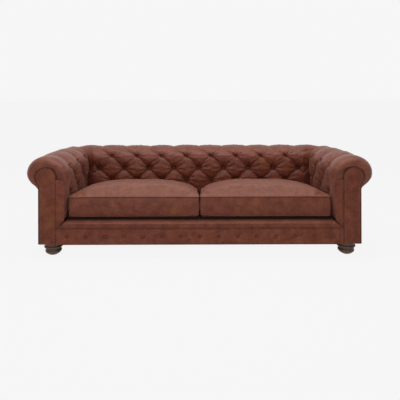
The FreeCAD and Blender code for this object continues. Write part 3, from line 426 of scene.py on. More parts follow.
class TuftRun:
    """A tufted run over the rolled section, in button rows (level) and half pitches (step).

    A button sits where step and level add up to an even number.
    """

    LOWEST = -2
    FIRST_BUTTONS = -1
    FOLD = 2
    TUCK = 7
    ROLL_END = 220.0
    CORE_ROWS = 4
    CORE_TOP, CORE_DEPTH, DECK_GAP = 0.603, 0.095, 0.6 * MM
    LAP = 0.84
    SLACK = 0.0
    MITRE_FOLD = 57.0
    FULLNESS = 0.38
    SWAY, SWAY_REACH = 0.13, 0.4
    PIT_REACH, PIT_EXTRA, PIT_CORE = 0.29, 7 * MM, 0.14
    GATHER, GATHER_RAYS, GATHER_REACH = 3.4 * MM, 11, 0.25
    CLEFT, CLEFT_LENGTH, CLEFT_WIDTH = 15 * MM, 0.62, 0.14
    LUMPS, FINE_LUMPS = 1.8 * MM, 0.9 * MM
    RIDGE, RIDGE_WIDTH = 2.6 * MM, 0.32
    BUTTON_RISE, BUTTON_PROUD, BUTTON_STEPS = 7 * MM, 11 * MM, 18

    def __init__(self, rows, fold_turn, fold_bottom, seed):
        chosen = sizes()
        self.half = chosen.seat_width / 2
        self.back = FRONT + chosen.seat_depth
        self.width, self.rise = chosen.roll_half_width, chosen.roll_half_height
        self.centre, self.tuck = chosen.roll_centre, chosen.roll_tuck
        self.outside, self.lean_by = chosen.outside_reach, chosen.face_lean
        self.half_pitch = chosen.tuft_pitch / 2
        self.tuft, self.pleat, self.fold = chosen.tuft_depth, chosen.pleat_depth, chosen.fold_depth
        self.round, self.inset_by = chosen.roll_round, chosen.roll_inset
        self.rows = rows
        self.fold_turn = fold_turn
        self.fold_bottom = fold_bottom
        self.seed = seed
        self.sections = {}

    def lean(self, height):
        share = (self.centre - height) / (self.centre - DECK_TOP)
        return self.lean_by * max(share, 0.0) ** 1.5

    def roll_point(self, turn):
        angle = math.radians(turn)
        return self.width * (1 - math.cos(angle)), self.centre + self.rise * math.sin(angle)

    def turn_at(self, height):
        return math.degrees(math.asin(clamp((height - self.centre) / self.rise, -1, 1)))

    def face_point(self, height):
        if height <= self.centre:
            return self.lean(height), height
        return self.roll_point(self.turn_at(height))

    def base(self, level):
        """Reach and height of the smooth section at a level."""
        lower, middle, upper = self.rows
        heights = (DECK_TOP + self.DECK_GAP, lower, middle, upper)
        if level <= 1:
            whole = min(int(math.floor(level)) + 2, 2)
            part = level + 2 - whole
            return self.face_point(heights[whole] + part * (heights[whole + 1] - heights[whole]))
        if level <= self.FOLD:
            if upper > self.centre:
                start = self.turn_at(upper)
                return self.roll_point(start + (level - 1) * (self.fold_turn - start))
            top = self.roll_point(self.fold_turn)[1]
            return self.face_point(upper + (level - 1) * (top - upper))
        last = self.TUCK - 1
        if level <= last:
            share = (level - self.FOLD) / (last - self.FOLD)
            return self.roll_point(self.fold_turn + share * (self.ROLL_END - self.fold_turn))
        share = level - last
        reach, height = self.roll_point(self.ROLL_END)
        tuck_reach = self.outside + 3 * MM
        return reach + share * (tuck_reach - reach), height + share * (self.tuck - height)

    def section(self, level):
        """Base point and outward direction at a level, kept for reuse."""
        if level not in self.sections:
            small = 0.02
            reach_a, height_a = self.base(max(level - small, self.LOWEST))
            reach_b, height_b = self.base(min(level + small, self.TUCK))
            along = math.hypot(reach_b - reach_a, height_b - height_a)
            out = (-(height_b - height_a) / along, (reach_b - reach_a) / along)
            if level <= self.LOWEST:
                out = (-1.0, 0.0)
            self.sections[level] = (*self.base(level), *out)
        return self.sections[level]

    def mitre_depth(self, reach, height):
        """Depth of the corner's seam: the same on the arm and the back."""
        turn = 0.0
        if height > self.centre or reach > self.width:
            turn = math.degrees(math.atan2((height - self.centre) / self.rise, 1 - reach / self.width))
            turn = turn + 360 if turn < -90 else turn
        share = clamp((turn - self.MITRE_FOLD) / (self.ROLL_END - self.MITRE_FOLD))
        return self.fold * 1.25 * (1 - share)

    def crowded(self, step, reach):
        """Step as it counts in the last puff, which is narrower beside a mitre."""
        past = abs(step) - self.last_step
        if past <= 0:
            return step
        share = min((self.last_width + reach) / (2 * self.half_pitch), 1)
        return math.copysign(self.last_step + min(past, 2 - past) * share, step)

    def puffed(self, step, level):
        """Fullness of a puff, 0 in its pleats and 1 at its top, steeper at its lower edges."""
        rising, falling = (step + level) / 2, (step - level) / 2
        up, down = rising - math.floor(rising), falling - math.floor(falling)
        one_way = math.sin(math.pi * (1 - (1 - down) ** self.LAP))
        one_way += self.SLACK * smooth_step(level / 0.7) * (1 - one_way)
        shape = math.sin(math.pi * up ** self.LAP) * one_way
        cell = chance(math.floor(rising), math.floor(falling), self.seed)
        return max(shape, 0.0) ** self.FULLNESS * (0.93 + 0.14 * cell)

    def relief(self, step, level, reach, height):
        """Depth of the surface below its puffs' tops, and how far that is towards a pit."""
        if level >= self.TUCK:
            return 0.0, 0.0
        held = clamp(level, self.FIRST_BUTTONS, self.FOLD)
        counted = self.crowded(step, reach)
        near_level = round(held)
        near_step = 2 * round((counted - near_level) / 2) + near_level
        away = math.hypot(counted - near_step, level - near_level)
        loose = self.SWAY * (1 - math.exp(-(away / self.SWAY_REACH) ** 2))
        sway = noise.noise_vector(Vector((counted * 0.9, level * 0.9, self.seed))) * loose
        inside = clamp(self.FOLD - level) * clamp(level - self.FIRST_BUTTONS)
        full = self.puffed(counted + sway.x, held + sway.y * inside)
        if level > self.FOLD:
            fade = (self.TUCK - level) / (self.TUCK - self.FOLD)
            strength = 0.75 + 0.5 * chance(round(counted / 2), 3, self.seed)
            valley = self.fold * fade * (1 + (strength - 1) * smooth_step((level - self.FOLD) / 1.5))
        else:
            bottom = self.tuft if near_level < self.FOLD else self.fold_bottom
            valley = self.pleat + (bottom - self.pleat) * math.exp(-(away / self.PIT_REACH) ** 2)
        depth = valley * (1 - full)
        if near_level < self.FOLD and abs(near_step) <= self.last_step and level > self.FIRST_BUTTONS - 0.6:
            angle = math.atan2(level - near_level, counted - near_step)
            gather = math.sin(angle * self.GATHER_RAYS + 6.0 * chance(near_step, near_level, self.seed))
            gather *= (1 + 0.6 * math.sin(angle)) * ring_wave(away / self.GATHER_REACH)
            depth += self.GATHER * gather * full
            above = (level - near_level) / self.CLEFT_LENGTH
            if near_level == 0 and 0 < above < 1:
                strained = 0.7 + 0.6 * chance(near_step, 9, self.seed)
                beside = counted - near_step - 0.05 * math.sin(5 * near_step)
                cleft = math.exp(-(beside / self.CLEFT_WIDTH) ** 2)
                depth += self.CLEFT * strained * cleft * (1 - above) * min(1.0, 5 * above)
        if near_level in (0, 1) and abs(near_step) <= self.last_step:
            depth += self.PIT_EXTRA * math.exp(-(away / self.PIT_CORE) ** 2)
        spot = Vector((counted * 3.7, level * 3.4, self.seed * 3.1))
        depth += self.LUMPS * noise.noise(spot) + self.FINE_LUMPS * noise.noise(spot * 2.7) * (0.4 + full)
        if level > 1:
            tight = ripple(counted * 2.6, level * 1.3, self.seed + 5.0)
            ridge = max(self.RIDGE_WIDTH - abs(tight), 0.0) / self.RIDGE_WIDTH
            depth += self.RIDGE * ridge * smooth_step(level - 1) * full * clamp(self.TUCK - level)
        past = abs(step) - self.last_step
        if past > 1:
            share = smooth_step(past - 1)
            depth += (self.mitre_depth(reach, height) - depth) * share
        return max(depth, -3 * MM), clamp(depth / self.tuft)

    def core_point(self, row):
        """Points behind the stuffing, from the tuck round to the seat."""
        depth, low = self.CORE_DEPTH, DECK_TOP + self.DECK_GAP
        return ((self.outside + 1.3 * MM, self.CORE_TOP), (depth, self.CORE_TOP), (depth, low))[row]

    def place(self, step, level):
        reach, height, out_reach, out_height = self.section(level)
        depth, sunk = self.relief(step, level, reach, height)
        return self.at(step, reach - depth * out_reach, height - depth * out_height), sunk

    def outward(self, step, level):
        """Direction in which a button looks."""
        out_reach, out_height = self.section(level)[2:]
        return (self.at(step, out_reach, out_height) - self.at(step, 0.0, 0.0)).normalized()

    def surface(self, columns, rows):
        """The closed padded form: a grid laid over the roll, then behind the stuffing."""
        bm = bmesh.new()
        bmesh.ops.create_grid(bm, x_segments=columns, y_segments=rows + self.CORE_ROWS, size=1.0)
        # The sunk layer holds how deep each point lies; the leather paints shade from it
        painted_shade_layer = bm.verts.layers.float.new("sunk")
        first, last = self.column_range()
        for vert in bm.verts:
            column = first + (vert.co.x + 1) / 2 * (last - first)
            row = round((vert.co.y + 1) / 2 * (rows + self.CORE_ROWS))
            if row == rows + self.CORE_ROWS:
                row = 0
            if row <= rows:
                level = self.LOWEST + (self.TUCK - self.LOWEST) * row / rows
                vert.co, vert[painted_shade_layer] = self.place(column, level)
            else:
                vert.co = self.behind(column, row - rows - 1)
        bmesh.ops.remove_doubles(bm, verts=bm.verts, dist=1e-6)
        close(bm)
        return bm

    def behind(self, column, row):
        return self.at(column, *self.core_point(row))

    def buttons(self):
        """Covered buttons, down in their tufts."""
        bm = bmesh.new()
        radius = sizes().button_radius
        for step, level in self.button_places():
            spot = self.place(step, level)[0]
            out = self.outward(step, level)
            turned(bm, covered_button(radius, self.BUTTON_RISE), spot + out * self.BUTTON_PROUD, out,
                   self.BUTTON_STEPS)
        mend(bm)
        return bm


def covered_button(radius, rise):
    """Profile of a leather-covered button: a tucked rim under a low dome."""
    outline = [(0.0, -0.35), (0.72, -0.30), (0.93, -0.12), (1.0, 0.12), (0.985, 0.34), (0.9, 0.60),
               (0.72, 0.80), (0.48, 0.93), (0.22, 0.985), (0.0, 1.0)]
    return [(radius * x, rise * z) for x, z in outline]


class BackRun(TuftRun):
    """The back, from mitre to mitre."""

    COLUMNS = 9
    SLACK = 0.62
    BUTTON_ROWS, FOLD_TURN = (0.410, 0.510, 0.630), 57.0

    def __init__(self):
        super().__init__(self.BUTTON_ROWS, self.FOLD_TURN, sizes().fold_depth, 11)
        self.last_step = self.COLUMNS - 1
        self.last_width = self.half - self.last_step * self.half_pitch

    def column_range(self):
        return -(self.last_step + 2), self.last_step + 2

    def at(self, step, reach, height):
        along = abs(step) * self.half_pitch
        if abs(step) > self.last_step:
            share = (abs(step) - self.last_step) / 2
            inner = self.last_step * self.half_pitch
            along = inner + share * (self.half + reach - inner)
        return Vector((math.copysign(along, step), self.back + reach, height))

    def button_places(self):
        return [(step, level) for level in (-1, 0, 1)
                for step in range(-self.last_step, self.last_step + 1) if (step + level) % 2 == 0]


class ArmRun(TuftRun):
    """One arm, from its rounded front end to the mitre; side is 1 on the right and -1 on the left."""

    FIRST_BUTTONS = 0
    COLUMNS = 3
    FIRST_COLUMN = 0.160
    ROUND_START = -1
    GATHERS = ((2.05, 0.10, 4.5), (2.9, 0.08, 2.5), (3.8, 0.09, 2.0), (5.0, 0.09, 2.0), (5.7, 0.1, 3.0))
    FULLEST_LEVEL, SPREAD_BELOW, SPREAD_ABOVE = 3.9, 1.4, 1.9
    FULL_COLUMNS = 1.5
    FRONT_BULGE = 21 * MM
    FLAT_INSET, SLIGHT_INSET, FRONT_GAP = 10 * MM, 8 * MM, 6.6 * MM
    SEAT_ROW, TOP_ROW, FOLD_TURN = 0.425, 0.535, 31.0

    def __init__(self, side):
        rows = ((DECK_TOP + self.SEAT_ROW) / 2, self.SEAT_ROW, self.TOP_ROW)
        super().__init__(rows, self.FOLD_TURN, sizes().tuft_depth, 23 + 5 * side)
        self.side = side
        self.inset_now = 0.0
        self.last_step = 2 * (self.COLUMNS - 1)
        self.last_width = sizes().seat_depth - self.FIRST_COLUMN - self.last_step * self.half_pitch

    def column_range(self):
        return self.ROUND_START - 1, self.last_step + 2

    def at(self, column, reach, height):
        along = self.FIRST_COLUMN + column * self.half_pitch
        if column < self.ROUND_START:
            turn = math.pi / 2 * (self.ROUND_START - column)
            swell = clamp((self.inset_now - self.FLAT_INSET) / (self.inset_by - self.FLAT_INSET))
            forward = self.FRONT_BULGE * swell * math.sin(math.pi * (turn / math.pi * 2) ** 1.5)
            along = self.FRONT_GAP + self.round * (1 - math.sin(turn)) - forward
        elif column > self.last_step:
            inner = self.FIRST_COLUMN + self.last_step * self.half_pitch
            share = (column - self.last_step) / 2
            along = inner + share * (sizes().seat_depth + reach - inner)
        return Vector((self.side * (self.half + reach), FRONT + along, height))

    def inset(self, level):
        """How far the front end is drawn in, full on the roll and slight below it."""
        if level <= 1:
            return self.SLIGHT_INSET
        fall = clamp((self.TUCK - level) / 2)
        return (self.SLIGHT_INSET + smooth_step(level - 1) * (self.inset_by - self.SLIGHT_INSET)) * fall

    def fullness(self, column, level):
        """How far the arm's roll swells beyond the back's, most at its upper outer side."""
        if level >= self.TUCK:
            return 0.0
        away = level - self.FULLEST_LEVEL
        spread = self.SPREAD_ABOVE if away > 0 else self.SPREAD_BELOW
        swell = sizes().arm_roll_fullness * math.exp(-(away / spread) ** 2) * clamp((self.TUCK - level) / 0.8)
        if column < self.ROUND_START:
            return swell * math.cos(math.pi / 2 * (self.ROUND_START - column))
        past = (column - self.FULL_COLUMNS) / (self.last_step + 2 - self.FULL_COLUMNS)
        return swell * (1 - smooth_step(past))

    def place(self, column, level):
        reach, height, out_reach, out_height = self.section(level)
        self.inset_now = self.inset(level)
        if column >= self.ROUND_START:
            depth, sunk = self.relief(column, level, reach, height)
            depth -= self.fullness(column, level)
            return self.at(column, reach - depth * out_reach, height - depth * out_height), sunk
        turn = math.pi / 2 * (self.ROUND_START - column)
        folds = self.front_folds(level, turn)
        sunk = self.inset_now * (1 - math.cos(turn)) + folds - self.fullness(column, level)
        spot = self.at(column, reach - sunk * out_reach, height - sunk * out_height)
        # The share returned beside the spot paints shade in the front folds
        return spot, clamp(folds / self.tuft * 2)

    def front_folds(self, level, turn):
        """Gathers of leather that run round the roll's front end towards the facing."""
        depth = 2.6 * MM * ripple(level * 1.9, turn, self.seed)
        for middle, width, deep in self.GATHERS:
            middle += 0.25 * (chance(round(middle * 9), self.seed) - 0.5)
            depth += deep * MM * math.exp(-((level - middle) / width) ** 2)
        return depth * math.sin(turn) ** 1.4

    def relief(self, step, level, reach, height):
        depth, sunk = super().relief(step, level, reach, height)
        share = smooth_step((step - self.ROUND_START) / 0.9)
        bulge = 2.0 * MM * ripple(level * 1.6, step * 1.6, self.seed)
        bulge = bulge * smooth_step((step - self.ROUND_START) / 0.3)
        return depth * share + bulge * (1 - share), sunk * share

    def button_places(self):
        return [(step, level) for level in (0, 1, 2)
                for step in range(0, self.last_step + 1) if (step + level) % 2 == 0]


def build_run(run, label, columns, rows, cover_nodes, button_node):
    piece = settle(label, run.surface(columns, rows), "leather", nodes=cover_nodes)
    settle(label + "_buttons", run.buttons(), "button_leather", nodes=(button_node,))


class BuildStep:
    """What the build's operators share: each does its own build."""

    def execute(self, context):
        self.build()
        return {"FINISHED"}


class SOFA_OT_back(BuildStep, bpy.types.Operator):
    """Build the tufted back and its buttons"""

    bl_idname = "sofa.back"
    bl_label = "Tufted Back"

    def build(self):
        build_run(BackRun(), "tufted_back", 400, 186, ("back_cover", "back_stuffing"), "back_buttons")


class SOFA_OT_arms(BuildStep, bpy.types.Operator):
    """Build the two tufted arms and their buttons"""

    bl_idname = "sofa.arms"
    bl_label = "Tufted Arms"

    def build(self):
        for side, word in SIDES:
            build_run(ArmRun(side), f"tufted_arm_{word}", 200, 180,
                      (f"arm_cover_{word}", f"arm_stuffing_{word}"), f"arm_buttons_{word}")


# Facings, panels and borders


class SOFA_OT_facings(BuildStep, bpy.types.Operator):
    """Build the keyhole facings at the arms' front ends, with their welts"""

    bl_idname = "sofa.facings"
    bl_label = "Arm Facings"

    HEAD_RADIUS = 0.074
    HEAD_HEIGHT = 0.580
    ROUNDING = 2.2 * MM
    NAIL_EDGE = 12 * MM
    NAIL_PITCH = 18.2 * MM
    NAIL_RADIUS = 4.0 * MM
    NAIL_RISE = 3.0 * MM
    ARC_STEPS = 44
    # How far in from the edge each ring of the face lies, and how proud it stands, in mm
    PILLOW = ((19, 0.0), (26, 1.4), (36, 2.6), (50, 3.2))

    def outline(self, inward):
        """Reach and height round the facing, moved in from its edge."""
        reach, bottom = FACING_INNER + self.HEAD_RADIUS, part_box("arm_facing_right")[0].z
        radius = self.HEAD_RADIUS - inward
        outer = sizes().outside_reach - inward
        pinch = math.asin(clamp((outer - reach) / radius)) - math.pi / 2
        spots = [(FACING_INNER + inward, bottom + inward)]
        for step in range(self.ARC_STEPS + 1):
            angle = math.pi + (pinch - math.pi) * step / self.ARC_STEPS
            spots.append((reach + radius * math.cos(angle), self.HEAD_HEIGHT + radius * math.sin(angle)))
        spots.append((outer, bottom + inward))
        return spots

    def facing(self, side, word):
        half = sizes().seat_width / 2
        node = f"arm_facing_{word}"
        low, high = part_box(node)
        bm = bmesh.new()
        rings = [(0.0, high.y), (0.0, low.y + self.ROUNDING), (0.7 * MM, low.y + 0.7 * MM), (self.ROUNDING, low.y)]
        rings += [(inward * MM, low.y - proud * MM) for inward, proud in self.PILLOW]
        previous = []
        for inward, along in rings:
            ring = [bm.verts.new((side * (half + reach), along, height)) for reach, height in self.outline(inward)]
            edges = [bm.edges.new(pair) for pair in zip(ring, ring[1:] + ring[:1])]
            if previous:
                bmesh.ops.bridge_loops(bm, edges=previous + edges)
            previous = edges
        close(bm)
        settle(f"facing_{word}", bm, "facing_leather", nodes=(node,), sharp=50)
        welt = bmesh.new()
        line = [(side * (half + reach), low.y + 1.5 * MM, max(height, low.z + 4 * MM))
                for reach, height in self.outline(-0.6 * MM)]
        # The welt is in the darker seam leather: painted shade for the seam line round the facing
        cord_mesh(welt, line, 1.25 * sizes().welt_radius)
        settle(f"facing_welt_{word}", welt, "facing_leather", look="seam_leather")

    def nail_places(self):
        """Reach and height of every nail of one facing, a fixed way in from its edge."""
        line = self.outline(self.NAIL_EDGE)
        spots, left_over = [], 0.0
        for start, end in zip(line, line[1:]):
            run = math.dist(start, end)
            along = left_over
            while along < run:
                spots.append(Vector(start).lerp(Vector(end), along / run))
                along += self.NAIL_PITCH
            left_over = along - run
        return spots

    def nails(self):
        """The rows of small domed nails round both facings."""
        bm = bmesh.new()
        half = sizes().seat_width / 2
        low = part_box("arm_facing_right")[0]
        dome = [(1.0, 0.0), (0.96, 0.26), (0.8, 0.58), (0.5, 0.85), (0.0, 1.0)]
        profile = [(self.NAIL_RADIUS * x, self.NAIL_RISE * z) for x, z in dome]
        for reach, height in self.nail_places():
            for side in (-1, 1):
                turned(bm, profile, Vector((side * (half + reach), low.y, height)), Vector((0, -1, 0)), 8)
        mend(bm)
        settle("facing_nail_rows", bm, "nail_metal", nodes=("facing_nails",))

    def build(self):
        for side, word in SIDES:
            self.facing(side, word)
        self.nails()


class SOFA_OT_front_panels(BuildStep, bpy.types.Operator):
    """Build the two upright panels between the facings and the seat"""

    bl_idname = "sofa.front_panels"
    bl_label = "Inner Front Panels"

    GAP = 0.6 * MM
    MITRE_TOP = 0.2733
    # Reach and drop below the top, then each inset's width and depth, in mm
    INNER_EDGE = ((12, 40), (13, 20), (16, 11), (22, 4), (33, 0))
    SOFT_EDGE = ((1.2, 1.2), (2.5, 1.0), (4.0, 0.5))

    def outline(self, low, high):
        """Reach and height of the panel's corners, from its lower outer one."""
        inner = [(self.GAP + reach * MM, high - drop * MM) for reach, drop in self.INNER_EDGE]
        outer = FACING_INNER - self.GAP
        return [(outer, low), (sizes().face_lean, self.MITRE_TOP), *inner, (outer, high)]

    def build(self):
        half = sizes().seat_width / 2
        for side, word in SIDES:
            node = f"inner_front_panel_{word}"
            low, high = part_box(node)
            bm = bmesh.new()
            spots = [bm.verts.new((side * (half + reach), high.y, height))
                     for reach, height in self.outline(low.z, high.z)]
            moved = bmesh.ops.extrude_face_region(bm, geom=[bm.faces.new(spots)], use_keep_orig=True)["geom"]
            front_verts = [item for item in moved if isinstance(item, bmesh.types.BMVert)]
            bmesh.ops.translate(bm, verts=front_verts, vec=(0, low.y - high.y, 0))
            front_face = [item for item in moved if isinstance(item, bmesh.types.BMFace)]
            for thickness, depth in self.SOFT_EDGE:
                bmesh.ops.inset_region(bm, faces=front_face, thickness=thickness * MM, depth=depth * MM,
                                       use_even_offset=True)
            bmesh.ops.recalc_face_normals(bm, faces=bm.faces)
            settle(f"front_panel_{word}", bm, "facing_leather", nodes=(node,), sharp=35)


PANEL_EDGE = {"round": 2.5 * MM, "round_reach": 3 * MM, "swell_reach": 9 * MM, "shade_depth": 5 * MM}


def wall_panel(name, node, slot_name, segments, shape, faces_out, hollow=None):
    """A broad upright panel that fills its node's box; shape moves its outer face outwards.

    What lies further in than hollow is darkened as painted shade, as in the floor of a fold.
    """
    low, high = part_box(node)
    across = 0 if abs(faces_out[1]) > 0 else 1
    bm = bmesh.new()
    bmesh.ops.create_grid(bm, x_segments=segments[0], y_segments=segments[1], size=0.5)
    painted_shade_layer = bm.verts.layers.float.new("sunk")
    through = 1 - across
    outer, inner = (high, low) if faces_out[through] > 0 else (low, high)
    wide, tall = high[across] - low[across], high.z - low.z
    for vert in bm.verts:
        share, rise = vert.co.x + 0.5, vert.co.y + 0.5
        spot = [0.0, 0.0, low.z + rise * tall]
        spot[across] = low[across] + share * wide
        spot[through] = outer[through]
        edge = min(share * wide, (1 - share) * wide, rise * tall, (1 - rise) * tall)
        inwards = clamp(edge / PANEL_EDGE["round_reach"])
        roll = PANEL_EDGE["round"] * (1 - math.sqrt(clamp(1 - (1 - inwards) ** 2)))
        swell = shape(spot[across], spot[2])
        if hollow is not None:
            vert[painted_shade_layer] = clamp((hollow - swell) / PANEL_EDGE["shade_depth"])
        proud = swell * smooth_step(edge / PANEL_EDGE["swell_reach"]) - roll
        vert.co = Vector(spot) + Vector(faces_out) * proud
    skirt(bm, through, inner[through])
    settle(name, bm, slot_name, nodes=(node,), sharp=60)


class SOFA_OT_border(BuildStep, bpy.types.Operator):
    """Build the front border with its dimples and its row of covered buttons"""

    bl_idname = "sofa.border"
    bl_label = "Front Border"

    COUNT = 15
    PITCH = 0.138
    PROUD = 5.5 * MM
    DIMPLE = 9.5 * MM
    DIMPLE_RADIUS = 15 * MM
    RAYS, RAY_REACH = 0.7 * MM, 20 * MM

    def button_spots(self):
        low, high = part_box("front_border")
        return [((row - (self.COUNT - 1) / 2) * self.PITCH, (low.z + high.z) / 2) for row in range(self.COUNT)]

    def fullness(self, across, height):
        """How proud the padded border stands, less its dimples."""
        proud = self.PROUD + 1.1 * MM * ripple(across * 7, height * 12, 4.0)
        row = round(across / self.PITCH)
        row = clamp(row, -(self.COUNT // 2), self.COUNT // 2)
        middle = self.button_spots()[0][1]
        away = math.hypot(across - row * self.PITCH, height - middle)
        angle = math.atan2(height - middle, across - row * self.PITCH)
        pull = math.exp(-(away / self.DIMPLE_RADIUS) ** 2)
        rays = self.RAYS * math.sin(angle * 5 + row) * ring_wave(away / self.RAY_REACH)
        return proud - self.DIMPLE * pull + rays

    def build(self):
        # The dimples, further in than the hollow depth, get painted shade
        wall_panel("front_border_panel", "front_border", "facing_leather", (520, 32), self.fullness,
                   (0, -1, 0), hollow=self.PROUD - 1.5 * MM)
        low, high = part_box("front_border")
        lip_low, lip_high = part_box("deck_lip")
        bm = bmesh.new()
        for across, height in self.button_spots():
            turned(bm, covered_button(sizes().border_button_radius, 5 * MM),
                   Vector((across, low.y - self.PROUD + 7 * MM, height)), Vector((0, -1, 0)), 18)
        mend(bm)
        settle("border_button_row", bm, "button_leather", nodes=("border_buttons",))
        welt = bmesh.new()
        for height in (high.z, low.z + 1.5 * MM):
            along = low.y - 1.5 * MM
            line = straight((low.x + 2 * MM, along, height), (high.x - 2 * MM, along, height), 80)
            for step, spot in enumerate(line):
                spot.z += 0.5 * MM * ripple(step * 0.7, height * 9, 0)
            cord_mesh(welt, line, 3.2 * MM, sides=2)
        settle("border_welts", welt, "facing_leather")
        # Dark cords at the foot of the lip and down each mitre: painted shade for the shadow lines there
        seam = bmesh.new()
        along, height = lip_low.y - 1.6 * MM, high.z + 5.5 * MM
        line = straight((low.x + 3 * MM, along, height), (high.x - 3 * MM, along, height), 40)
        cord_mesh(seam, line, 3.6 * MM, sides=2)
        lean, half = sizes().face_lean, sizes().seat_width / 2
        along = lip_low.y - 0.6 * MM
        for side in (1, -1):
            mitre = straight((side * (half + FACING_INNER - 1 * MM), along, high.z + 3 * MM),
                             (side * (half + lean), along, lip_high.z - 3 * MM), 8)
            cord_mesh(seam, mitre, 2.2 * MM, sides=2)
        settle("border_shade_cords", seam, "facing_leather", look="seam_leather")


class SOFA_OT_lip(BuildStep, bpy.types.Operator):
    """Build the rolled lip under the cushions"""

    bl_idname = "sofa.lip"
    bl_label = "Deck Lip"

    ROUNDING = 15 * MM
    SUNK_BY = 15 * MM
    BULGE, BULGE_HEIGHT = 8 * MM, 34 * MM
    COLUMNS, ARC_STEPS, BACK_ROWS = 300, 9, 4
    FRONT_HEIGHTS = (0.0, 0.8, 2.5, 6, 12, 24, 36)

    def build(self):
        low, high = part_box("deck_lip")
        high.z -= self.SUNK_BY
        half, lean = sizes().seat_width / 2, sizes().face_lean
        depth, rise = high.y - low.y, high.z - low.z
        centre = rise - self.ROUNDING
        profile = [(0.0, height * MM) for height in self.FRONT_HEIGHTS]
        for step in range(self.ARC_STEPS + 1):
            angle = math.pi / 2 * step / self.ARC_STEPS
            profile.append((self.ROUNDING * (1 - math.cos(angle)), centre + self.ROUNDING * math.sin(angle)))
        profile += [(0.03, rise), (0.05, rise), (depth, rise), (depth, 0.0), (0.0, 0.0)]
        last = len(profile) - 1
        widest = half + FACING_INNER - 1.2 * MM
        bm = bmesh.new()
        bmesh.ops.create_grid(bm, x_segments=self.COLUMNS, y_segments=last, size=1.0)
        for vert in bm.verts:
            row = round((vert.co.y + 1) / 2 * last)
            along, up = profile[row]
            across = vert.co.x * (widest + up / rise * (half + lean - 0.6 * MM - widest))
            bulge = 0.0
            if 0 < row <= last - self.BACK_ROWS:
                soft = 1.5 * MM * ripple(across * 5.0, 2.0, 0.5)
                soft += 0.9 * MM * ripple(across * 17.0, up * 30, 1.5)
                bulge = self.BULGE * math.sin(math.pi / 2 * clamp(up / self.BULGE_HEIGHT)) + soft
                bulge *= smooth_step((1 - abs(vert.co.x)) / 0.01)
            angle = clamp((up - centre) / self.ROUNDING) * math.pi / 2
            vert.co = (across, low.y + along - bulge * math.cos(angle),
                       low.z + up - max(-bulge, 0) * math.sin(angle))
        bmesh.ops.remove_doubles(bm, verts=bm.verts, dist=1e-6)
        close(bm)
        settle("seat_lip", bm, "facing_leather", nodes=("deck_lip",), sharp=60)


class SOFA_OT_outside(BuildStep, bpy.types.Operator):
    """Build the plain leather panels outside the arms and the back"""

    bl_idname = "sofa.outside"
    bl_label = "Outside Panels"

    def soft(self, across, height):
        return (1.3 * MM * ripple(across * 3.1, height * 4.0, 7.0)
                + 0.6 * MM * ripple(across * 13.0, height * 9.0, 2.0) + 1.2 * MM)

    def build(self):
        for side, word in SIDES:
            wall_panel(f"outside_arm_{word}", f"outside_arm_panel_{word}", "leather", (110, 60), self.soft,
                       (side, 0, 0))
        wall_panel("outside_back", "outside_back_panel", "leather", (280, 60), self.soft, (0, 1, 0))
        low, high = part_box("outside_back_panel")
        reach = sizes().outside_reach - 1.5 * MM
        across, along = sizes().seat_width / 2 + reach, FRONT + sizes().seat_depth + reach
        welt = bmesh.new()
        for side in (1, -1):
            corner = straight((side * across, along, low.z), (side * across, along, high.z), 20)
            cord_mesh(welt, corner, sizes().welt_radius)
        settle("corner_welts", welt, "leather")


# Seat cushions


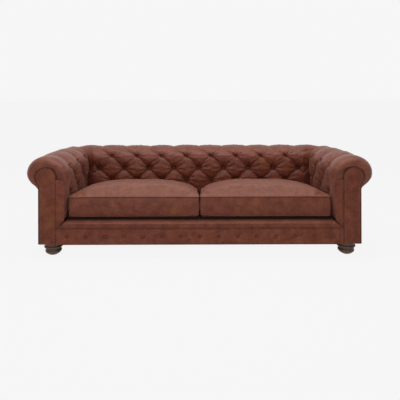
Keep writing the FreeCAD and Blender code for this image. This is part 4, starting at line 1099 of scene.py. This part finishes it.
class SOFA_OT_cushions(BuildStep, bpy.types.Operator):
    """Build the two loose seat cushions, swelled by a cloth simulation"""

    bl_idname = "sofa.cushions"
    bl_label = "Seat Cushions"

    CELLS = (76, 50, 10)
    FRAMES = 20
    SEAM_RISE = 0.150
    SWELL_CAP = 12 * MM
    SWELL_SHARE = (0.25, 0.4)
    DIP, INNER_FALL, OUTER_FALL = 34 * MM, 60 * MM, 42 * MM
    LIFT, INNER_LIFT, OUTER_LIFT = 7 * MM, 15 * MM, 4 * MM
    CORNER_START, CORNER_ROUND = 1.955, 0.22
    EDGE = 0.4999
    CLOTH = {"quality": 6, "mass": 0.5, "tension_stiffness": 20.0, "compression_stiffness": 20.0,
             "shear_stiffness": 8.0, "bending_stiffness": 0.6, "use_pressure": True,
             "uniform_pressure_force": 4.0, "shrink_min": -0.035, "vertex_group_mass": "held"}
    # Each crease's middle in x and y, its turn, its half length and its rise in mm
    CREASES = (
        (0.245, -0.34, 0.22, 0.075, 6.0), (0.42, -0.27, -1.0, 0.11, 4.5), (0.66, -0.30, -1.15, 0.13, 4.0),
        (0.36, -0.12, 1.2, 0.12, 4.0), (0.80, -0.36, 0.9, 0.07, 3.5), (-0.27, -0.33, 0.9, 0.06, 5.0),
        (-0.30, -0.26, -0.9, 0.09, 4.5), (-0.58, -0.22, 1.1, 0.12, 4.0), (-0.72, -0.36, -0.8, 0.08, 3.5),
        (-0.44, -0.38, 1.3, 0.10, 3.5))

    def box_grid(self):
        """A unit box with its faces divided into cells."""
        bm = bmesh.new()
        bmesh.ops.create_cube(bm, size=1.0)
        for axis, cells in enumerate(self.CELLS):
            running = [edge for edge in bm.edges
                       if abs(edge.verts[0].co[axis] - edge.verts[1].co[axis]) > 0.5]
            bmesh.ops.subdivide_edges(bm, edges=running, cuts=cells - 1, use_grid_fill=True)
        return bm

    def form(self, bm, low, high, seed, inner):
        """Moves the unit box onto a boxed cushion with a crowned top and low rear corners.

        Inner is the side of the other cushion, 1 or -1.
        """
        chosen = sizes()
        middle = (low + high) / 2
        seam = low.z + self.SEAM_RISE
        for vert in bm.verts:
            across, along, up = vert.co.x * 2, vert.co.y * 2, vert.co.z + 0.5
            on_side = max(abs(across), abs(along)) > 0.999
            beside_other = across * inner > 0
            rear = (along + 1) / 2
            draw_x = chosen.cushion_draw * smooth_step(rear / 0.4) + 3 * MM
            draw_y = 0.5 * chosen.cushion_draw * (1 - across ** 4)
            belly = 4 * MM * math.sin(math.pi * up)
            half_x = (high.x - low.x) / 2 - draw_x + (belly if abs(across) > 0.999 else 0)
            half_y = (high.y - low.y) / 2 - draw_y + (belly if abs(along) > 0.999 else 0)
            corner = max(abs(across) + abs(along) - self.CORNER_START, 0) * self.CORNER_ROUND
            x = middle.x + across * half_x * (1 - corner * 0.25)
            y = middle.y + along * half_y * (1 - corner * 0.4)
            fall = self.INNER_FALL if beside_other else self.OUTER_FALL
            dip = self.DIP * rear ** 2 + fall * rear ** 1.5 * abs(across) ** 3.5
            corner_lift = self.INNER_LIFT if beside_other else self.OUTER_LIFT
            lift = corner_lift * (1 - up) * across ** 6 if on_side else 0.0
            if along < -0.999:
                lift += self.LIFT * (1 - up) ** 2
            z = low.z + up * (seam - dip - low.z) + lift
            if up > 0.999:
                rise = (1 - abs(across) ** 3.2) * (1 - abs(along) ** (1.9 if along > 0 else 8.0))
                lumps = 5 * MM * ripple(x * 4.5, y * 4.5, seed)
                z += (chosen.cushion_crown + lumps) * rise
            vert.co = (x, y, z)

    def swell(self, piece):
        """Cloth with air pressure inside, its seams and its underside held."""
        mesh = piece.data
        start = [vert.co.copy() for vert in mesh.vertices]
        held = piece.vertex_groups.new(name="held")
        held.add([index for index, fixed in enumerate(self.held_points) if fixed], 1.0, "REPLACE")
        swell = piece.modifiers.new("swell", "CLOTH")
        for name, value in self.CLOTH.items():
            setattr(swell.settings, name, value)
        swell.settings.effector_weights.gravity = 0.0
        swell.collision_settings.use_collision = False
        swell.point_cache.frame_start, swell.point_cache.frame_end = 1, self.FRAMES
        scene = bpy.context.scene
        for step in range(1, self.FRAMES + 1):
            scene.frame_set(step)
        posed = piece.evaluated_get(bpy.context.evaluated_depsgraph_get())
        spots = [vert.co.copy() for vert in posed.to_mesh().vertices]
        posed.to_mesh_clear()
        piece.modifiers.clear()
        piece.vertex_groups.clear()
        scene.frame_set(1)
        for vert, before, after in zip(mesh.vertices, start, spots):
            move = after - before
            move.x, move.y = self.SWELL_SHARE[0] * move.x, self.SWELL_SHARE[1] * move.y
            if move.length > self.SWELL_CAP:
                move = move.normalized() * self.SWELL_CAP
            vert.co = before + move

    def build(self):
        for sign, word in SIDES:
            self.cushion(sign, word)

    def cushion(self, sign, word):
        node, body = f"cushion_cover_{word}", f"{word}_seat_cushion"
        low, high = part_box(node)
        bm = self.box_grid()
        bm.verts.index_update()
        ring = [vert for vert in bm.verts if max(abs(vert.co.x), abs(vert.co.y)) > self.EDGE]
        self.held_points = [vert.co.z < -self.EDGE for vert in bm.verts]
        ring.sort(key=lambda vert: math.atan2(vert.co.y, vert.co.x))
        seam_high = [vert.index for vert in ring if vert.co.z > self.EDGE]
        seam_low = [vert.index for vert in ring if vert.co.z < -self.EDGE]
        for index in seam_high:
            self.held_points[index] = True
        self.form(bm, low, high, 3.0 + sign, -sign)
        bmesh.ops.recalc_face_normals(bm, faces=bm.faces)
        piece = settle(f"seat_cushion_{word}", bm, "cushion_leather", body, nodes=(node, f"cushion_core_{word}"))
        self.swell(piece)
        # The welt at both seams, then a dark cord beside each: partly a stitch line, partly painted shade under
        # the welt
        for kind, look, cords in (
                ("welts", "cushion_leather", ((seam_high, 0.0, 3.6, 2), (seam_low, 2.5, 3.0, 2))),
                ("seams", "seam_leather", ((seam_high, -4.6, 1.7, 1), (seam_low, 6.8, 1.7, 1)))):
            bm = bmesh.new()
            for line, rise, radius, sides in cords:
                spots = [piece.data.vertices[index].co + Vector((0, 0, rise * MM)) for index in line]
                cord_mesh(bm, spots, radius * MM, True, sides)
            settle(f"cushion_{kind}_{word}", bm, "cushion_leather", body, look=look)
        self.refine(piece, sign)

    def refine(self, piece, sign):
        """Adds a subdivision, then the creases that sitting leaves in the top."""
        divide = piece.modifiers.new("divide", "SUBSURF")
        divide.levels = divide.render_levels = 1
        bpy.context.view_layer.update()
        finer = bpy.data.meshes.new_from_object(piece.evaluated_get(bpy.context.evaluated_depsgraph_get()))
        piece.modifiers.clear()
        old = piece.data
        piece.data = finer
        finer.name = old.name
        bpy.data.meshes.remove(old)
        crown_start = DECK_TOP + self.SEAM_RISE + 5 * MM
        creases = [crease for crease in self.CREASES if crease[0] * sign > 0]
        for vert in piece.data.vertices:
            top = smooth_step((vert.co.z - crown_start) / 0.02)
            spot = Vector((vert.co.x * 9, vert.co.y * 14, sign * 7.0))
            ridge = 1 - abs(noise.noise(spot)) * 2
            fine = noise.noise(spot * 3.3)
            vert.co.z += top * (3.4 * MM * max(ridge - 0.55, 0) * 2 + 1.2 * MM * fine)
            for x, y, turn, reach, rise in creases:
                beside, beyond = vert.co.x - x, vert.co.y - y
                across = beside * math.cos(turn) + beyond * math.sin(turn)
                along = beyond * math.cos(turn) - beside * math.sin(turn)
                if abs(along) < reach and abs(across) < 0.06:
                    fade = math.cos(math.pi / 2 * along / reach) ** 2
                    bent = across + 0.006 * math.sin(along * 40)
                    wave = math.exp(-(bent / 0.009) ** 2) - 0.7 * math.exp(-((bent - 0.018) / 0.010) ** 2)
                    vert.co.z += top * fade * rise * MM * wave


# Seat deck, feet and underside


class SOFA_OT_deck(BuildStep, bpy.types.Operator):
    """Build the padded seat deck under the cushions"""

    bl_idname = "sofa.deck"
    bl_label = "Seat Deck"

    def build(self):
        low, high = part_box("deck_pad")
        bm = bmesh.new()
        bmesh.ops.create_grid(bm, x_segments=150, y_segments=50, size=0.5)
        for vert in bm.verts:
            share, depth = vert.co.x + 0.5, vert.co.y + 0.5
            x, y = low.x + share * (high.x - low.x), low.y + depth * (high.y - low.y)
            edge = min(x - low.x, high.x - x, y - low.y, high.y - y)
            sag = 1.2 * MM * (ripple(x * 8, y * 8, 1.0) - 1)
            vert.co = (x, y, DECK_TOP + sag - 6 * MM * (1 - smooth_step(edge / 0.02)))
        skirt(bm, 2, low.z)
        deck = settle("seat_deck", bm, "black_cloth", nodes=("deck_cover", "deck_pad"), sharp=50)


class SOFA_OT_feet(BuildStep, bpy.types.Operator):
    """Turn the four bun feet"""

    bl_idname = "sofa.feet"
    bl_label = "Bun Feet"

    STEPS = 56
    OUTLINE = (
        (0.0, 0.0), (29.0, 0.0), (31.5, 0.8), (33.5, 3.0), (40.5, 6.5), (48.5, 12.0), (54.5, 18.0),
        (58.0, 23.0), (59.2, 28.0), (58.2, 32.5), (55.6, 36.5), (52.4, 39.0), (51.0, 40.3), (50.6, 41.6),
        (51.2, 42.6), (50.6, 43.8), (50.6, 46.6), (52.4, 48.6), (57.5, 50.2), (58.2, 52.0), (62.4, 53.2),
        (65.6, 55.6), (67.0, 58.8), (66.6, 62.6), (64.0, 66.2), (60.2, 68.2), (58.4, 69.4), (58.2, 71.2),
        (59.4, 72.6), (60.0, 75.0), (60.0, 92.4), (58.6, 93.0), (0.0, 93.0))

    def build(self):
        for end in ("front", "back"):
            for word in ("left", "right"):
                node = f"foot_{end}_{word}"
                low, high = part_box(node)
                bm = bmesh.new()
                foot = Vector(((low.x + high.x) / 2, (low.y + high.y) / 2, low.z))
                turned(bm, [(radius * MM, height * MM) for radius, height in self.OUTLINE], foot,
                       Vector((0, 0, 1)), self.STEPS)
                mend(bm)
                settle(f"bun_{node}", bm, "foot_wood", nodes=(node,), sharp=40)


class SOFA_OT_inside(BuildStep, bpy.types.Operator):
    """Give the frame, springs, webbing and zips their finishes"""

    bl_idname = "sofa.inside"
    bl_label = "Frame and Springs"

    def build(self):
        slots = {part["node"]: part["material_slot"] for part in frame["record"]["subparts"]}
        for name, node in frame["nodes"].items():
            if node.hide_render:
                continue
            material = finish(slots[name])
            if not node.material_slots:
                node.data.materials.append(material)
            for slot in node.material_slots:
                slot.material = material


# Stage


class SOFA_OT_stage(BuildStep, bpy.types.Operator):
    """Set the pale floor, the soft lights and the camera"""

    bl_idname = "sofa.stage"
    bl_label = "Stage"

    AMBIENT = 0.39
    FLOOR_GLOW = 0.97
    # Each lamp's name, place, aim, size and power in watts
    LAMPS = (("overhead", (0.0, -0.6, 3.4), (0.0, 0.0, 0.3), (4.5, 2.2), 98.0),
             ("front_fill", (-0.9, -4.3, 1.45), (0.0, 0.0, 0.45), (3.0, 2.0), 37.0))
    CAMERA_PLACE = (-0.035, -3.479, 1.228)
    LENS = 37.2
    SHIFT = (0.0135, -0.279)
    ROLL = 0.17

    def seen_share(self, nodes):
        """1 for rays that show the background: camera, glossy and transmission rays."""
        rays = [nodes.add("ShaderNodeLightPath", output=f"Is {kind} Ray")
                for kind in ("Camera", "Glossy", "Transmission")]
        return functools.reduce(functools.partial(nodes.combine, "MAXIMUM"), rays)

    def world(self):
        world = bpy.data.worlds.new("studio")
        bpy.context.scene.world = world
        nodes = Nodes(world)
        light = nodes.add("ShaderNodeBackground", {"Color": (1, 1, 1, 1), "Strength": self.AMBIENT})
        shown = nodes.add("ShaderNodeBackground", {"Color": opaque(colours().background), "Strength": 1.0})
        both = nodes.add("ShaderNodeMixShader", {0: self.seen_share(nodes), 1: light, 2: shown})
        nodes.add("ShaderNodeOutputWorld", {"Surface": both})

    def floor(self):
        bm = bmesh.new()
        bmesh.ops.create_grid(bm, x_segments=1, y_segments=1, size=40.0)
        mesh = bpy.data.meshes.new("floor")
        bm.to_mesh(mesh)
        bm.free()
        plane = bpy.data.objects.new("floor", mesh)
        bpy.context.scene.collection.objects.link(plane)
        material = bpy.data.materials.new("studio_floor")
        nodes = Nodes(material)
        matt = nodes.add("ShaderNodeBsdfDiffuse", {"Color": opaque(colours().background)})
        glow = nodes.add("ShaderNodeEmission", {"Color": opaque(colours().background), "Strength": 1.0})
        share = nodes.combine("MULTIPLY", self.seen_share(nodes), self.FLOOR_GLOW)
        both = nodes.add("ShaderNodeMixShader", {0: share, 1: matt, 2: glow})
        nodes.add("ShaderNodeOutputMaterial", {"Surface": both})
        mesh.materials.append(material)

    def lamp(self, name, place, aim, size, power):
        data = bpy.data.lights.new(name, "AREA")
        data.shape = "RECTANGLE"
        data.size, data.size_y = size
        data.energy = power
        lamp = bpy.data.objects.new(name, data)
        bpy.context.scene.collection.objects.link(lamp)
        lamp.location = place
        lamp.rotation_mode = "QUATERNION"
        lamp.rotation_quaternion = (Vector(aim) - Vector(place)).to_track_quat("-Z", "Y")

    def camera(self):
        data = bpy.data.cameras.new("camera")
        data.lens = self.LENS
        data.sensor_width = 36.0
        data.shift_x, data.shift_y = self.SHIFT
        camera = bpy.data.objects.new("camera", data)
        bpy.context.scene.collection.objects.link(camera)
        camera.location = self.CAMERA_PLACE
        camera.rotation_euler = (math.pi / 2, math.radians(self.ROLL), 0.0)
        bpy.context.scene.camera = camera

    def build(self):
        bpy.context.scene.view_settings.view_transform = "Standard"
        self.world()
        self.floor()
        for lamp in self.LAMPS:
            self.lamp(*lamp)
        self.camera()


class SOFA_PT_panel(bpy.types.Panel):
    """Sizes, colours and the steps of the sofa"""

    bl_label = "Chesterfield Sofa"
    bl_idname = "SOFA_PT_panel"
    bl_space_type = "VIEW_3D"
    bl_region_type = "UI"
    bl_category = "Sofa"

    def draw(self, context):
        for group in (context.scene.sofa_sizes, context.scene.sofa_colours):
            column = self.layout.column()
            for name in group.__annotations__:
                column.prop(group, name)
        for operator in OPERATORS:
            self.layout.operator(operator.bl_idname)


OPERATORS = (SOFA_OT_stage, SOFA_OT_back, SOFA_OT_arms, SOFA_OT_facings, SOFA_OT_front_panels, SOFA_OT_border,
             SOFA_OT_lip, SOFA_OT_outside, SOFA_OT_cushions, SOFA_OT_deck, SOFA_OT_feet, SOFA_OT_inside)
CLASSES = (SofaSizes, SofaColours, *OPERATORS, SOFA_PT_panel)


def register():
    for item in CLASSES:
        bpy.utils.register_class(item)
    bpy.types.Scene.sofa_sizes = PointerProperty(type=SofaSizes)
    bpy.types.Scene.sofa_colours = PointerProperty(type=SofaColours)


def unregister():
    del bpy.types.Scene.sofa_colours
    del bpy.types.Scene.sofa_sizes
    for item in reversed(CLASSES):
        bpy.utils.unregister_class(item)


def main():
    # Without a seed noise_vector takes its offsets from the clock
    noise.seed_set(NOISE_SEED)
    register()
    for operator in OPERATORS:
        group, action = operator.bl_idname.split(".")
        getattr(getattr(bpy.ops, group), action)()


if __name__ == "__main__":
    main()
